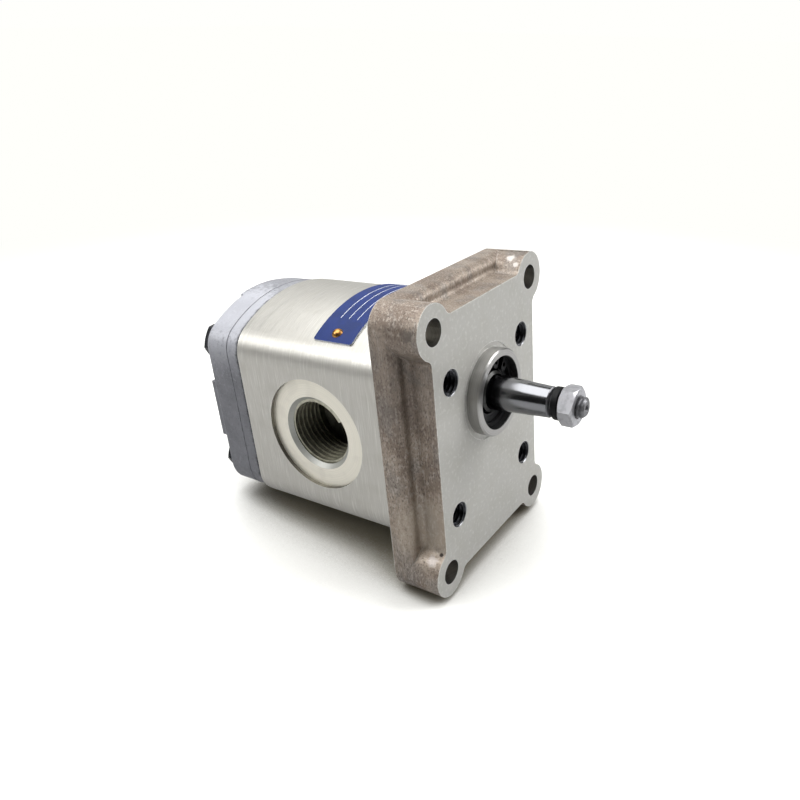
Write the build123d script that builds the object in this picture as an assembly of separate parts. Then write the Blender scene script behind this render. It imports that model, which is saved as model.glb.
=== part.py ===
"""External hydraulic gear pump with a four-hole flange, two threaded ports and a tapered drive shaft.

Frame: the drive axis meets the machined mounting face at the origin. +X runs out along the shaft,
+Z is up along the long side of the flange, and the suction port opens towards -Y. Millimetres.
Each node in parts/ is one piece of the pump, or one set of identical fasteners.
"""

from build123d import *
import math
import os

# Gear set
GEAR_PITCH = 19.6  # distance between the drive axis and the idler axis below it
TOOTH_COUNT = 12
GEAR_WIDTH = 17.0
TIP_R = 11.43
ROOT_R = 7.82
FLANK_FOOT_R = 8.5  # where the flank runs into the round bottom of the tooth space
PRESSURE_ANGLE = 25.0
BACKLASH = 0.08  # taken off each tooth's thickness at the pitch circle
FACE_GAP = 0.04  # between a gear's side and the bearing block beside it
JOURNAL_R = 6.0

# Stations along X
FLANGE_BACK_X = -15.0
BODY_BACK_X = -70.0
COVER_BACK_X = -85.0
GEAR_CENTRE_X = (FLANGE_BACK_X + BODY_BACK_X) / 2
GEAR_FRONT_X = GEAR_CENTRE_X + GEAR_WIDTH / 2
GEAR_BACK_X = GEAR_CENTRE_X - GEAR_WIDTH / 2
BODY_CENTRE_Z = -GEAR_PITCH / 2

# Mounting flange
FLANGE_HALF_W = 33.5
FLANGE_HALF_H = 43.5
MOUNT_HALF_Y = 26.2  # half of the 52.4 mm hole spacing
MOUNT_HALF_Z = 36.0  # half of the 72 mm hole spacing
MOUNT_HOLE_R = 3.6
LOBE_R = 7.3
PLATE_CORNER_R = 7.4
WAIST_HALF_W = 28.0
WAIST_HALF_H = 38.5
WAIST_DEPTH = 8.0  # how far back from the machined face the recess between two lobes reaches
LOBE_BLEND_R = 2.5
RECESS_FILLET_R = 1.8
RIM_ROUND_R = 2.8
EDGE_BREAK = 0.4
PILOT_R = 12.7
PILOT_H = 3.6
RELIEF_R = 14.2  # shallow relief turned round the foot of the pilot
RELIEF_DEPTH = 0.2

# Shaft seal pocket in the pilot
POCKET_R = 10.5
POCKET_BACK_X = -6.6
SHAFT_PASSAGE_R = 7.5
RING_X = 0.55
RING_T = 1.0
RING_GROOVE_R = 11.05
RING_R = 11.0
RING_BAND = 1.9
RING_LUG_R = 1.75
RING_LUG_AT_R = 8.5
RING_LUG_HOLE_R = 0.75
RING_GAP_MIDDLE = 62.0  # degrees from +Y towards +Z
RING_LUG_SPREAD = 17.0  # degrees from the middle of the gap to each lug
SEAL_OUTER_R = 10.48
SEAL_FRONT_X = 0.45
SEAL_BACK_X = -6.5

# Body and rear cover
BOLT_Y = 20.0
BOLT_Z = 20.2
BODY_CORNER_R = 9.5
CROWN_R = 47.18
CROWN_DROP = 11.74  # the crown's centre lies this far past the body centre, on the far side
BORE_R = 11.48
BOLT_CLEAR_R = 3.75
TAPPED_R = 3.55
BOLT_SHANK_R = 3.4
BOLT_TIP_X = -6.5
BOLT_HEAD_AF = 12.0
BOLT_HEAD_H = 4.2
HEAD_CHAMFER_H = 0.7
BOLT_TIP_CHAMFER = 0.6
COVER_INSET = 0.75
COVER_ROUND_R = 1.2
CROSS_HALF = 9.7
CROSS_H = 1.8
CROSS_SET_IN = 0.35  # the raised cross stops this far inside the cover's outline
CROSS_ROUND_R = 0.8
CROSS_ROOT = 3.0  # how far the cross runs into the cover, so that both are one solid
DOWEL_Y = 20.0
DOWEL_R = 2.5
DOWEL_HALF_L = 5.0

# Ports: radius of the thread's root, spotface radius, countersink radius, passage radius
SPOTFACE_DEPTH = 1.2
THREAD_DEPTH = 15.0
COUNTERSINK_DEPTH = 1.2
PORT_CHAMBER_Y = 5.0
PORTS = {
    "suction": {"side": -1, "thread_r": 10.48, "spotface_r": 17.6, "countersink_r": 11.7,
                "passage_r": 6.5},
    "pressure": {"side": 1, "thread_r": 8.33, "spotface_r": 14.5, "countersink_r": 9.4,
                 "passage_r": 5.5},
}

# Bearing blocks, bushes and seals
BLOCK_R = 11.45
BUSH_OUTER_R = 6.99
BUSH_SEAT_R = 7.0
BUSH_INNER_R = 6.03
BUSH_LENGTH = 15.0
BUSH_SET_BACK = 1.0
SEAL_TRACK_OUTER_R = 10.15
SEAL_TRACK_INNER_R = 8.35
SEAL_TRACK_DEPTH = 2.4
SEAL_THICKNESS = 1.5
STRIP_THICKNESS = 0.8
FIT_GAP = 0.05
BODY_SEAL_INNER_R = 13.4
BODY_SEAL_OUTER_R = 15.4
BODY_SEAL_DEPTH = 1.5

# Shaft end
SEAL_JOURNAL_END_X = 0.9
TAPER_START_X = 1.5
TAPER_END_X = 19.3
TAPER_GAUGE_X = 13.0
TAPER_GAUGE_R = 4.65
TAPER = 1 / 20  # radius lost per millimetre: a 1:10 taper on the diameter
TIP_X = 28.8
THREAD_ROOT_R = 2.6
CENTRE_DRILL_R = 1.1
KEY_CENTRE_X = 11.0
KEY_DISC_R = 5.0
KEY_WIDTH = 2.5
KEY_HEIGHT = 3.7
KEY_BOTTOM_R = 1.8  # distance from the shaft axis to the bottom of the key
KEY_ANGLE = -30.0  # degrees from +Y towards +Z
WASHER_X = 19.35
WASHER_BAND_X = 1.55
WASHER_INNER_R = 3.1
WASHER_OUTER_R = 4.6
WASHER_PITCH = 1.5
WASHER_TURN = 0.96
NUT_X = 22.5
NUT_H = 4.2
NUT_AF = 10.0
NUT_TURN = -3.0  # degrees from +Y to the first corner

# Name plate
PLATE_MIN_X = -41.5
PLATE_MAX_X = -27.8
PLATE_T = 0.5
PLATE_HALF_ANGLE = 32.0
RIVET_ANGLE = 28.1
RIVET_HEAD_R = 1.65
RIVET_HEAD_H = 1.1
RIVET_PIN_R = 1.0
RIVET_PIN_L = 4.0

CORNERS = [(y, z) for y in (-1, 1) for z in (-1, 1)]


def across(x):
    """Plane across the shaft axis at station x: its own x axis is +Y and its own y axis is +Z."""
    return Plane.YZ.offset(x)


def slab(sketch, x0, x1):
    """Prism of a sketch, drawn in Y and Z, from station x0 to station x1."""
    return extrude(across(x0) * sketch, amount=x1 - x0)


def bar(x0, x1, radius, y=0.0, z=0.0):
    """Round bar along X, centred on (y, z)."""
    return slab(Pos(y, z) * Circle(radius), x0, x1)


def turned(points):
    """Solid of revolution about the drive axis from (x, radius) points."""
    return revolve(make_face(Polyline(*points, close=True)), axis=Axis.X)


def polar(radius, angle):
    """Point at a radius and an angle in radians."""
    return (radius * math.cos(angle), radius * math.sin(angle))


def bore_pair(radius):
    """Figure-eight sketch: a circle of this radius round each shaft axis."""
    return Circle(radius) + Pos(0, -GEAR_PITCH) * Circle(radius)


def body_outline(inset=0.0):
    """Cross-section of the body: flat sides, round corners about the bolts, crowned top and bottom."""
    corner_r = BODY_CORNER_R - inset
    crown_r = CROWN_R - inset
    side = BOLT_Y + corner_r
    reach = math.hypot(BOLT_Y, BOLT_Z + CROWN_DROP)
    lean = (BOLT_Y / reach, (BOLT_Z + CROWN_DROP) / reach)
    middle = (math.sqrt((1 + lean[0]) / 2), math.sqrt((1 - lean[0]) / 2))
    edges = []
    for sign in (1, -1):
        foot = (sign * side, sign * BOLT_Z)
        turn = (sign * (BOLT_Y + corner_r * middle[0]), sign * (BOLT_Z + corner_r * middle[1]))
        shoulder = (sign * crown_r * lean[0], sign * (crown_r * lean[1] - CROWN_DROP))
        far_shoulder = (-shoulder[0], shoulder[1])
        far_turn = (-turn[0], turn[1])
        far_foot = (-foot[0], foot[1])
        edges.append(Line((foot[0], -foot[1]), foot))
        edges.append(ThreePointArc(foot, turn, shoulder))
        edges.append(ThreePointArc(shoulder, (0, sign * (crown_r - CROWN_DROP)), far_shoulder))
        edges.append(ThreePointArc(far_shoulder, far_turn, far_foot))
    return Pos(0, BODY_CENTRE_Z) * make_face(edges)


def gear_outline(phase):
    """Involute gear section with one tooth centred at the angle phase, in degrees."""
    pitch_r = GEAR_PITCH / 2
    base_angle = math.radians(PRESSURE_ANGLE)
    base_r = pitch_r * math.cos(base_angle)
    half_tooth = (math.pi * pitch_r / TOOTH_COUNT - BACKLASH) / 2 / pitch_r

    def half_angle(radius):
        """Half the angle that a tooth covers at a radius."""
        grip = math.acos(min(1.0, base_r / radius))
        return half_tooth + math.tan(base_angle) - base_angle - math.tan(grip) + grip

    flank_radii = [base_r + (TIP_R - base_r) * (step / 5) ** 1.5 for step in range(6)]
    foot = half_angle(base_r)
    pitch = 2 * math.pi / TOOTH_COUNT
    edges = []
    for tooth in range(TOOTH_COUNT):
        centre = math.radians(phase) + tooth * pitch
        rising = [polar(r, centre - half_angle(r)) for r in flank_radii]
        falling = [polar(r, centre + half_angle(r)) for r in reversed(flank_radii)]
        edges.append(Line(polar(FLANK_FOOT_R, centre - foot), rising[0]))
        edges.append(Spline(*rising))
        edges.append(ThreePointArc(rising[-1], polar(TIP_R, centre), falling[0]))
        edges.append(Spline(*falling))
        edges.append(Line(falling[-1], polar(FLANK_FOOT_R, centre + foot)))
        space_end = polar(FLANK_FOOT_R, centre + pitch - foot)
        space_middle = polar(ROOT_R, centre + pitch / 2)
        edges.append(ThreePointArc(polar(FLANK_FOOT_R, centre + foot), space_middle, space_end))
    return make_face(edges)


def waist_outline():
    """Machined face of the flange: a rectangle with a round lobe at each mounting hole."""
    face = Rectangle(2 * WAIST_HALF_W, 2 * WAIST_HALF_H)
    for y, z in CORNERS:
        face += Pos(y * MOUNT_HALF_Y, z * MOUNT_HALF_Z) * Circle(LOBE_R)
    edge_y = WAIST_HALF_W + FIT_GAP
    edge_z = WAIST_HALF_H + FIT_GAP
    inner_corners = [v for v in face.vertices() if abs(v.X) < edge_y and abs(v.Y) < edge_z]
    return Pos(0, BODY_CENTRE_Z) * fillet(inner_corners, LOBE_BLEND_R)


def recess_profile(step):
    """Section cut away between two lobes: x along the shaft, y outwards from the waist."""
    floor_x = -WAIST_DEPTH
    bend = math.sqrt(0.5)
    past = 3.0
    a = (past, 0)
    b = (floor_x + RECESS_FILLET_R, 0)
    b_c = (b[0] - RECESS_FILLET_R * bend, RECESS_FILLET_R * (1 - bend))
    c = (floor_x, RECESS_FILLET_R)
    d = (floor_x, step - RIM_ROUND_R)
    d_e = (floor_x - RIM_ROUND_R * (1 - bend), step - RIM_ROUND_R * (1 - bend))
    e = (floor_x - RIM_ROUND_R, step)
    f = (e[0], step + past)
    g = (past, step + past)
    edges = [Line(a, b), ThreePointArc(b, b_c, c), Line(c, d), ThreePointArc(d, d_e, e)]
    edges += [Line(e, f), Line(f, g), Line(g, a)]
    return make_face(edges)


def recess_cutters():
    """The four cutters that leave the recesses between the lobes."""
    side = extrude(recess_profile(FLANGE_HALF_W - WAIST_HALF_W), amount=MOUNT_HALF_Z, both=True)
    end = extrude(recess_profile(FLANGE_HALF_H - WAIST_HALF_H), amount=MOUNT_HALF_Y, both=True)
    cutters = []
    for turn, cutter, reach in ((0, side, WAIST_HALF_W), (180, side, WAIST_HALF_W),
                                (90, end, WAIST_HALF_H), (-90, end, WAIST_HALF_H)):
        cutters.append(Pos(0, 0, BODY_CENTRE_Z) * Rot(turn, 0, 0) * Pos(0, reach, 0) * cutter)
    return cutters


def front_flange():
    """Cast flange: plate, lobes, pilot, seal pocket, mounting holes, tapped bolt holes, dowel holes."""
    plate_face = RectangleRounded(2 * FLANGE_HALF_W, 2 * FLANGE_HALF_H, PLATE_CORNER_R)
    part = slab(Pos(0, BODY_CENTRE_Z) * plate_face, FLANGE_BACK_X, 0)
    part = chamfer(part.faces().sort_by(Axis.X)[0].edges(), EDGE_BREAK)
    waist = slab(waist_outline(), -WAIST_DEPTH - RIM_ROUND_R - 1, 5)
    for cutter in recess_cutters():
        part -= cutter - waist
    part -= bar(-RELIEF_DEPTH, 1, RELIEF_R)
    part += turned([(-1, 0), (PILOT_H, 0), (PILOT_H, PILOT_R - EDGE_BREAK), (PILOT_H - EDGE_BREAK, PILOT_R),
                    (-1, PILOT_R)])
    part -= turned([(POCKET_BACK_X, 0), (PILOT_H + 1, 0), (PILOT_H + 1, POCKET_R + 1.15),
                    (PILOT_H - 0.15, POCKET_R), (POCKET_BACK_X, POCKET_R)])
    part -= bar(FLANGE_BACK_X - 1, POCKET_BACK_X + 1, SHAFT_PASSAGE_R)
    part -= bar(RING_X - FIT_GAP, RING_X + RING_T + FIT_GAP, RING_GROOVE_R)
    for y, z in CORNERS:
        part -= bar(FLANGE_BACK_X - 1, 1, MOUNT_HOLE_R, y * MOUNT_HALF_Y, BODY_CENTRE_Z + z * MOUNT_HALF_Z)
        tapped = turned([(FLANGE_BACK_X - 1, 0), (1, 0), (1, TAPPED_R + 1.2), (-0.2, TAPPED_R),
                         (FLANGE_BACK_X - 1, TAPPED_R)])
        part -= Pos(0, y * BOLT_Y, BODY_CENTRE_Z + z * BOLT_Z) * tapped
    for y in (-DOWEL_Y, DOWEL_Y):
        part -= bar(FLANGE_BACK_X - 1, FLANGE_BACK_X + DOWEL_HALF_L + 0.2, DOWEL_R + 0.02, y, BODY_CENTRE_Z)
    return part


def port_cutter(side, thread_r, spotface_r, countersink_r, passage_r):
    """Everything cut for one port: spotface, countersink, thread bore and passage to the gears."""
    wall_y = BOLT_Y + BODY_CORNER_R
    floor_y = wall_y - SPOTFACE_DEPTH
    bottom_y = floor_y - THREAD_DEPTH
    profile = [(0, PORT_CHAMBER_Y), (passage_r, PORT_CHAMBER_Y), (passage_r, bottom_y - 1.5),
               (thread_r, bottom_y), (thread_r, floor_y - COUNTERSINK_DEPTH), (countersink_r, floor_y),
               (spotface_r, floor_y), (spotface_r, wall_y + 1), (0, wall_y + 1)]
    cutter = revolve(make_face(Polyline(*profile, close=True)), axis=Axis.Y)
    turn = 0 if side > 0 else 180
    return Pos(GEAR_CENTRE_X, 0, BODY_CENTRE_Z) * Rot(0, 0, turn) * cutter


def pump_body():
    """Extruded body with the gear bore, bolt holes, seal grooves, dowel holes, ports and rivet holes."""
    part = slab(body_outline(), BODY_BACK_X, FLANGE_BACK_X)
    part -= slab(bore_pair(BORE_R), BODY_BACK_X - 1, FLANGE_BACK_X + 1)
    groove = bore_pair(BODY_SEAL_OUTER_R) - bore_pair(BODY_SEAL_INNER_R)
    part -= slab(groove, FLANGE_BACK_X - BODY_SEAL_DEPTH, FLANGE_BACK_X + 1)
    part -= slab(groove, BODY_BACK_X - 1, BODY_BACK_X + BODY_SEAL_DEPTH)
    for y, z in CORNERS:
        centre_z = BODY_CENTRE_Z + z * BOLT_Z
        part -= bar(BODY_BACK_X - 1, FLANGE_BACK_X + 1, BOLT_CLEAR_R, y * BOLT_Y, centre_z)
    hole_r = DOWEL_R + 0.02
    depth = DOWEL_HALF_L + 0.2
    for y in (-DOWEL_Y, DOWEL_Y):
        part -= bar(FLANGE_BACK_X - depth, FLANGE_BACK_X + 1, hole_r, y, BODY_CENTRE_Z)
        part -= bar(BODY_BACK_X - 1, BODY_BACK_X + depth, hole_r, y, BODY_CENTRE_Z)
    for port in PORTS.values():
        part -= port_cutter(**port)
    for place in rivet_places():
        part -= place * Pos(0, 0, -RIVET_PIN_L / 2) * Cylinder(RIVET_PIN_R + 0.02, RIVET_PIN_L + 0.4)
    return part


def rear_cover():
    """Die-cast cover with rounded rear edges and a raised cross between the bolt heads."""
    part = slab(body_outline(COVER_INSET), COVER_BACK_X, BODY_BACK_X)
    part = fillet(part.faces().sort_by(Axis.X)[0].edges(), COVER_ROUND_R)
    arm = 4 * FLANGE_HALF_H
    cross = Rectangle(2 * CROSS_HALF, arm) + Rectangle(arm, 2 * CROSS_HALF)
    raised = (Pos(0, BODY_CENTRE_Z) * cross) & body_outline(COVER_INSET + CROSS_SET_IN)
    raised = slab(raised, COVER_BACK_X - CROSS_H, COVER_BACK_X + CROSS_ROOT)
    part += fillet(raised.faces().sort_by(Axis.X)[0].edges(), CROSS_ROUND_R)
    for y, z in CORNERS:
        part -= bar(COVER_BACK_X - 1, BODY_BACK_X + 1, BOLT_CLEAR_R, y * BOLT_Y, BODY_CENTRE_Z + z * BOLT_Z)
    for y in (-DOWEL_Y, DOWEL_Y):
        part -= bar(BODY_BACK_X - DOWEL_HALF_L - 0.2, BODY_BACK_X + 1, DOWEL_R + 0.02, y, BODY_CENTRE_Z)
    return part


def taper_r(x):
    """Radius of the taper at station x."""
    return TAPER_GAUGE_R - (x - TAPER_GAUGE_X) * TAPER


def key_disc(radius, width):
    """Disc that the half-round key is cut from, placed in the shaft."""
    disc = Pos(KEY_CENTRE_X, KEY_BOTTOM_R + KEY_DISC_R, 0) * Cylinder(radius, width)
    return Rot(KEY_ANGLE, 0, 0) * disc


def drive_gear_shaft():
    """Drive gear with its journals, seal journal, taper, key slot, threaded tip and centre drilling."""
    part = turned([(BODY_BACK_X + 0.5, 0), (BODY_BACK_X + 0.5, JOURNAL_R - 0.5),
                   (BODY_BACK_X + 1, JOURNAL_R),
                   (SEAL_JOURNAL_END_X, JOURNAL_R), (TAPER_START_X, taper_r(TAPER_START_X)),
                   (TAPER_END_X - 0.3, taper_r(TAPER_END_X)), (TAPER_END_X, taper_r(TAPER_END_X) - 0.3),
                   (TAPER_END_X, THREAD_ROOT_R), (TIP_X - 0.5, THREAD_ROOT_R), (TIP_X, THREAD_ROOT_R - 0.5),
                   (TIP_X, CENTRE_DRILL_R), (TIP_X - CENTRE_DRILL_R * math.sqrt(3), 0)])
    part += slab(gear_outline(-90), GEAR_BACK_X + FACE_GAP, GEAR_FRONT_X - FACE_GAP)
    part -= key_disc(KEY_DISC_R + 0.02, KEY_WIDTH + 0.04)
    return part


def idler_gear_shaft():
    """Idler gear with a journal on each side, turned half a tooth to mesh with the drive gear."""
    part = turned([(BODY_BACK_X + 0.5, 0), (BODY_BACK_X + 0.5, JOURNAL_R - 0.5),
                   (BODY_BACK_X + 1, JOURNAL_R),
                   (FLANGE_BACK_X - 1, JOURNAL_R), (FLANGE_BACK_X - 0.5, JOURNAL_R - 0.5),
                   (FLANGE_BACK_X - 0.5, 0)])
    part += slab(gear_outline(90 + 180 / TOOTH_COUNT), GEAR_BACK_X + FACE_GAP, GEAR_FRONT_X - FACE_GAP)
    return Pos(0, 0, -GEAR_PITCH) * part


def woodruff_key():
    """Half-round key in the taper."""
    top = Pos(KEY_CENTRE_X, KEY_BOTTOM_R + KEY_HEIGHT / 2, 0) * Box(3 * KEY_DISC_R, KEY_HEIGHT, KEY_WIDTH)
    return key_disc(KEY_DISC_R, KEY_WIDTH) & (Rot(KEY_ANGLE, 0, 0) * top)


def seal_track(gap=0.0):
    """Three-shaped sketch on the pressure side of a bearing block's outer face."""
    track = bore_pair(SEAL_TRACK_OUTER_R - gap) - bore_pair(SEAL_TRACK_INNER_R + gap)
    half = Pos(TIP_R + gap, BODY_CENTRE_Z) * Rectangle(2 * TIP_R, 6 * TIP_R)
    return track & half


def bearing_block(face_x, gear_x):
    """Figure-eight block that carries the bushes, with the seal groove in its outer face at face_x."""
    low, high = min(face_x, gear_x), max(face_x, gear_x)
    part = slab(bore_pair(BLOCK_R), low, high)
    part -= slab(bore_pair(BUSH_SEAT_R), low - 1, high + 1)
    inward = 1 if gear_x > face_x else -1
    floor_x = face_x + inward * SEAL_TRACK_DEPTH
    start_x = face_x - inward
    part -= slab(seal_track(), min(start_x, floor_x), max(start_x, floor_x))
    return part


def track_piece(face_x, inward, start, thickness):
    """One filling of the seal groove, from depth start to start + thickness below the face."""
    x0 = face_x + inward * start
    x1 = face_x + inward * (start + thickness)
    return slab(seal_track(FIT_GAP), min(x0, x1), max(x0, x1))


def bush(gear_x, inward, z):
    """Plain bush in a bearing block, set back a little from the gear."""
    x0 = gear_x - inward * BUSH_SET_BACK
    x1 = x0 - inward * BUSH_LENGTH
    low, high = min(x0, x1), max(x0, x1)
    return bar(low, high, BUSH_OUTER_R, 0, z) - bar(low - 1, high + 1, BUSH_INNER_R, 0, z)


def body_seal(face_x, inward):
    """Figure-eight seal in the end face of the body."""
    ring = bore_pair(BODY_SEAL_OUTER_R - FIT_GAP) - bore_pair(BODY_SEAL_INNER_R + FIT_GAP)
    x1 = face_x + inward * (BODY_SEAL_DEPTH - FIT_GAP)
    return slab(ring, min(face_x, x1), max(face_x, x1))


def shaft_seal_case():
    """Outer ring of the shaft seal with its front web."""
    wall_r = 9.6
    web_r = 7.55
    web_back_x = -0.85
    return turned([(SEAL_BACK_X, wall_r), (web_back_x, wall_r), (web_back_x, web_r), (SEAL_FRONT_X, web_r),
                   (SEAL_FRONT_X, SEAL_OUTER_R - 0.3), (SEAL_FRONT_X - 0.3, SEAL_OUTER_R),
                   (SEAL_BACK_X, SEAL_OUTER_R)])


def shaft_seal_lip():
    """Rubber lip that runs close round the seal journal, with the seat of its garter spring."""
    lip_r = JOURNAL_R + FIT_GAP
    return turned([(0.3, 7.5), (0.3, 6.7), (-2.8, 6.45), (-3.6, lip_r), (-5.0, 6.75), (-5.6, 6.75),
                   (-5.6, 8.3), (-4.9, 8.3), (-4.9, 7.45), (-3.3, 7.45), (-2.0, 7.9), (-0.9, 9.3),
                   (-0.9, 7.5)])


def shaft_seal_spring():
    """Garter spring, as a plain ring."""
    return revolve(Pos(-4.1, 8.05) * Circle(0.55), axis=Axis.X)


def retaining_ring():
    """Ring in the pilot's groove, open between two lugs that each have a round hole."""
    ring = Circle(RING_R) - Circle(RING_R - RING_BAND)
    for spread in (-RING_LUG_SPREAD, RING_LUG_SPREAD):
        lug = polar(RING_LUG_AT_R, math.radians(RING_GAP_MIDDLE + spread))
        ring += Pos(*lug) * Circle(RING_LUG_R)
    gap = Rot(0, 0, RING_GAP_MIDDLE) * Pos(RING_R, 0) * Rectangle(RING_R, 2.6)
    ring -= gap
    for spread in (-RING_LUG_SPREAD, RING_LUG_SPREAD):
        lug = polar(RING_LUG_AT_R, math.radians(RING_GAP_MIDDLE + spread))
        ring -= Pos(*lug) * Circle(RING_LUG_HOLE_R)
    return slab(ring, RING_X, RING_X + RING_T)


def dowels(joint_x):
    """Two pins across the joint at joint_x."""
    return [bar(joint_x - DOWEL_HALF_L, joint_x + DOWEL_HALF_L, DOWEL_R, y, BODY_CENTRE_Z)
            for y in (-DOWEL_Y, DOWEL_Y)]


def hexagon(across_flats):
    """Hexagon with a corner on its own x axis."""
    return RegularPolygon(across_flats / 2, 6, major_radius=False, rotation=0)


def body_bolt(y, z):
    """Long hexagon bolt from the rear cover into the flange."""
    seat_x = COVER_BACK_X
    top_x = seat_x - BOLT_HEAD_H
    corner_r = BOLT_HEAD_AF / math.sqrt(3)
    head = slab(hexagon(BOLT_HEAD_AF), top_x, seat_x)
    crown_r = BOLT_HEAD_AF / 2 - 0.2
    head &= turned([(top_x, 0), (top_x, crown_r), (top_x + HEAD_CHAMFER_H, corner_r), (seat_x, corner_r),
                    (seat_x, 0)])
    tip_start_x = BOLT_TIP_X - BOLT_TIP_CHAMFER
    shank = turned([(seat_x - 1, 0), (seat_x - 1, BOLT_SHANK_R), (tip_start_x, BOLT_SHANK_R),
                    (BOLT_TIP_X, BOLT_SHANK_R - BOLT_TIP_CHAMFER), (BOLT_TIP_X, 0)])
    return Pos(0, y * BOLT_Y, BODY_CENTRE_Z + z * BOLT_Z) * (head + shank)


def spring_washer():
    """Split washer: one open turn of square wire."""
    wire_r = (WASHER_INNER_R + WASHER_OUTER_R) / 2
    path = Helix(WASHER_PITCH, WASHER_PITCH * WASHER_TURN, wire_r)
    section = Plane(origin=path @ 0, z_dir=path % 0, x_dir=(0, 0, 1)) * Rectangle(
        WASHER_BAND_X, WASHER_OUTER_R - WASHER_INNER_R)
    coil = sweep(section, path=path, is_frenet=True)
    return Pos(WASHER_X + WASHER_BAND_X / 2, 0, 0) * Rot(0, 90, 0) * coil


def shaft_nut():
    """Thin hexagon nut, chamfered on both sides."""
    end_x = NUT_X + NUT_H
    corner_r = NUT_AF / math.sqrt(3)
    part = slab(Rot(0, 0, NUT_TURN) * hexagon(NUT_AF), NUT_X, end_x)
    part &= turned([(NUT_X, 0), (NUT_X, NUT_AF / 2 - 0.1), (NUT_X + 0.55, corner_r),
                    (end_x - 0.55, corner_r), (end_x, NUT_AF / 2 - 0.1), (end_x, 0)])
    bore_r = THREAD_ROOT_R + FIT_GAP
    part -= turned([(NUT_X - 1, 0), (NUT_X - 1, bore_r), (end_x - 0.6, bore_r), (end_x, bore_r + 0.6),
                    (end_x + 1, bore_r + 0.6), (end_x + 1, 0)])
    return part


def rivet_places():
    """Places on the crown for the two rivets: origin on the body's surface, +Z outwards."""
    places = []
    for lean in (RIVET_ANGLE, -RIVET_ANGLE):
        middle_x = (PLATE_MIN_X + PLATE_MAX_X) / 2
        places.append(Pos(middle_x, 0, BODY_CENTRE_Z - CROWN_DROP) * Rot(lean, 0, 0) * Pos(0, 0, CROWN_R))
    return places


def name_plate():
    """Thin plate bent over the crown of the body, with a hole for each rivet."""
    inner_r = CROWN_R + 0.01
    outer_r = inner_r + PLATE_T
    half = math.radians(PLATE_HALF_ANGLE)
    outline = []
    for radius in (inner_r, outer_r):
        left, right = polar(radius, math.pi / 2 + half), polar(radius, math.pi / 2 - half)
        outline.append(ThreePointArc(left, (0, radius), right))
    outline.append(Line(outline[0] @ 0, outline[1] @ 0))
    outline.append(Line(outline[0] @ 1, outline[1] @ 1))
    band = Pos(0, BODY_CENTRE_Z - CROWN_DROP) * make_face(outline)
    part = slab(band, PLATE_MIN_X, PLATE_MAX_X)
    corners = part.edges().filter_by(lambda edge: edge.length < 2 * PLATE_T)
    part = fillet(corners, 0.8)
    for place in rivet_places():
        part -= place * Cylinder(RIVET_PIN_R + 0.1, 4)
    return part


def rivet(place):
    """Dome-headed drive rivet."""
    base = PLATE_T + 0.02
    dome_r = (RIVET_HEAD_R**2 + RIVET_HEAD_H**2) / (2 * RIVET_HEAD_H)
    dome = Pos(0, 0, base + RIVET_HEAD_H - dome_r) * Sphere(dome_r)
    dome &= Pos(0, 0, base + RIVET_HEAD_H) * Cylinder(RIVET_HEAD_R, 2 * RIVET_HEAD_H)
    pin = Pos(0, 0, (base - RIVET_PIN_L) / 2 + 0.1) * Cylinder(RIVET_PIN_R, RIVET_PIN_L + base)
    return place * (dome + pin)


def build():
    """Every node by name."""
    nodes = {
        "front_flange": front_flange(),
        "pump_body": pump_body(),
        "rear_cover": rear_cover(),
        "drive_gear_shaft": drive_gear_shaft(),
        "idler_gear_shaft": idler_gear_shaft(),
        "woodruff_key": woodruff_key(),
        "spring_washer": spring_washer(),
        "shaft_nut": shaft_nut(),
        "shaft_seal_case": shaft_seal_case(),
        "shaft_seal_lip": shaft_seal_lip(),
        "shaft_seal_spring": shaft_seal_spring(),
        "retaining_ring": retaining_ring(),
        "front_dowels": Compound(children=dowels(FLANGE_BACK_X)),
        "rear_dowels": Compound(children=dowels(BODY_BACK_X)),
        "body_bolts": Compound(children=[body_bolt(y, z) for y, z in CORNERS]),
        "name_plate": name_plate(),
        "name_plate_rivets": Compound(children=[rivet(place) for place in rivet_places()]),
    }
    for end, face_x, gear_x in (("front", FLANGE_BACK_X, GEAR_FRONT_X), ("rear", BODY_BACK_X, GEAR_BACK_X)):
        inward = 1 if gear_x > face_x else -1
        nodes[f"{end}_bearing_block"] = bearing_block(face_x, gear_x)
        nodes[f"{end}_backup_strip"] = track_piece(face_x, inward, 0, STRIP_THICKNESS)
        nodes[f"{end}_pressure_seal"] = track_piece(face_x, inward, STRIP_THICKNESS, SEAL_THICKNESS)
        nodes[f"{end}_body_seal"] = body_seal(face_x, inward)
        nodes[f"drive_{end}_bush"] = bush(gear_x, inward, 0)
        nodes[f"idler_{end}_bush"] = bush(gear_x, inward, -GEAR_PITCH)
    return nodes


os.makedirs("parts", exist_ok=True)
for name, shape in build().items():
    export_step(shape, f"parts/{name}.step")
    print(name, len(shape.solids()), round(shape.volume, 1))
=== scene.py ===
import logging
import math
from collections.abc import Callable, Iterable, Sequence
from dataclasses import dataclass, field, replace
from enum import Enum

import bmesh
import bpy
from mathutils import Matrix, Vector


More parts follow.
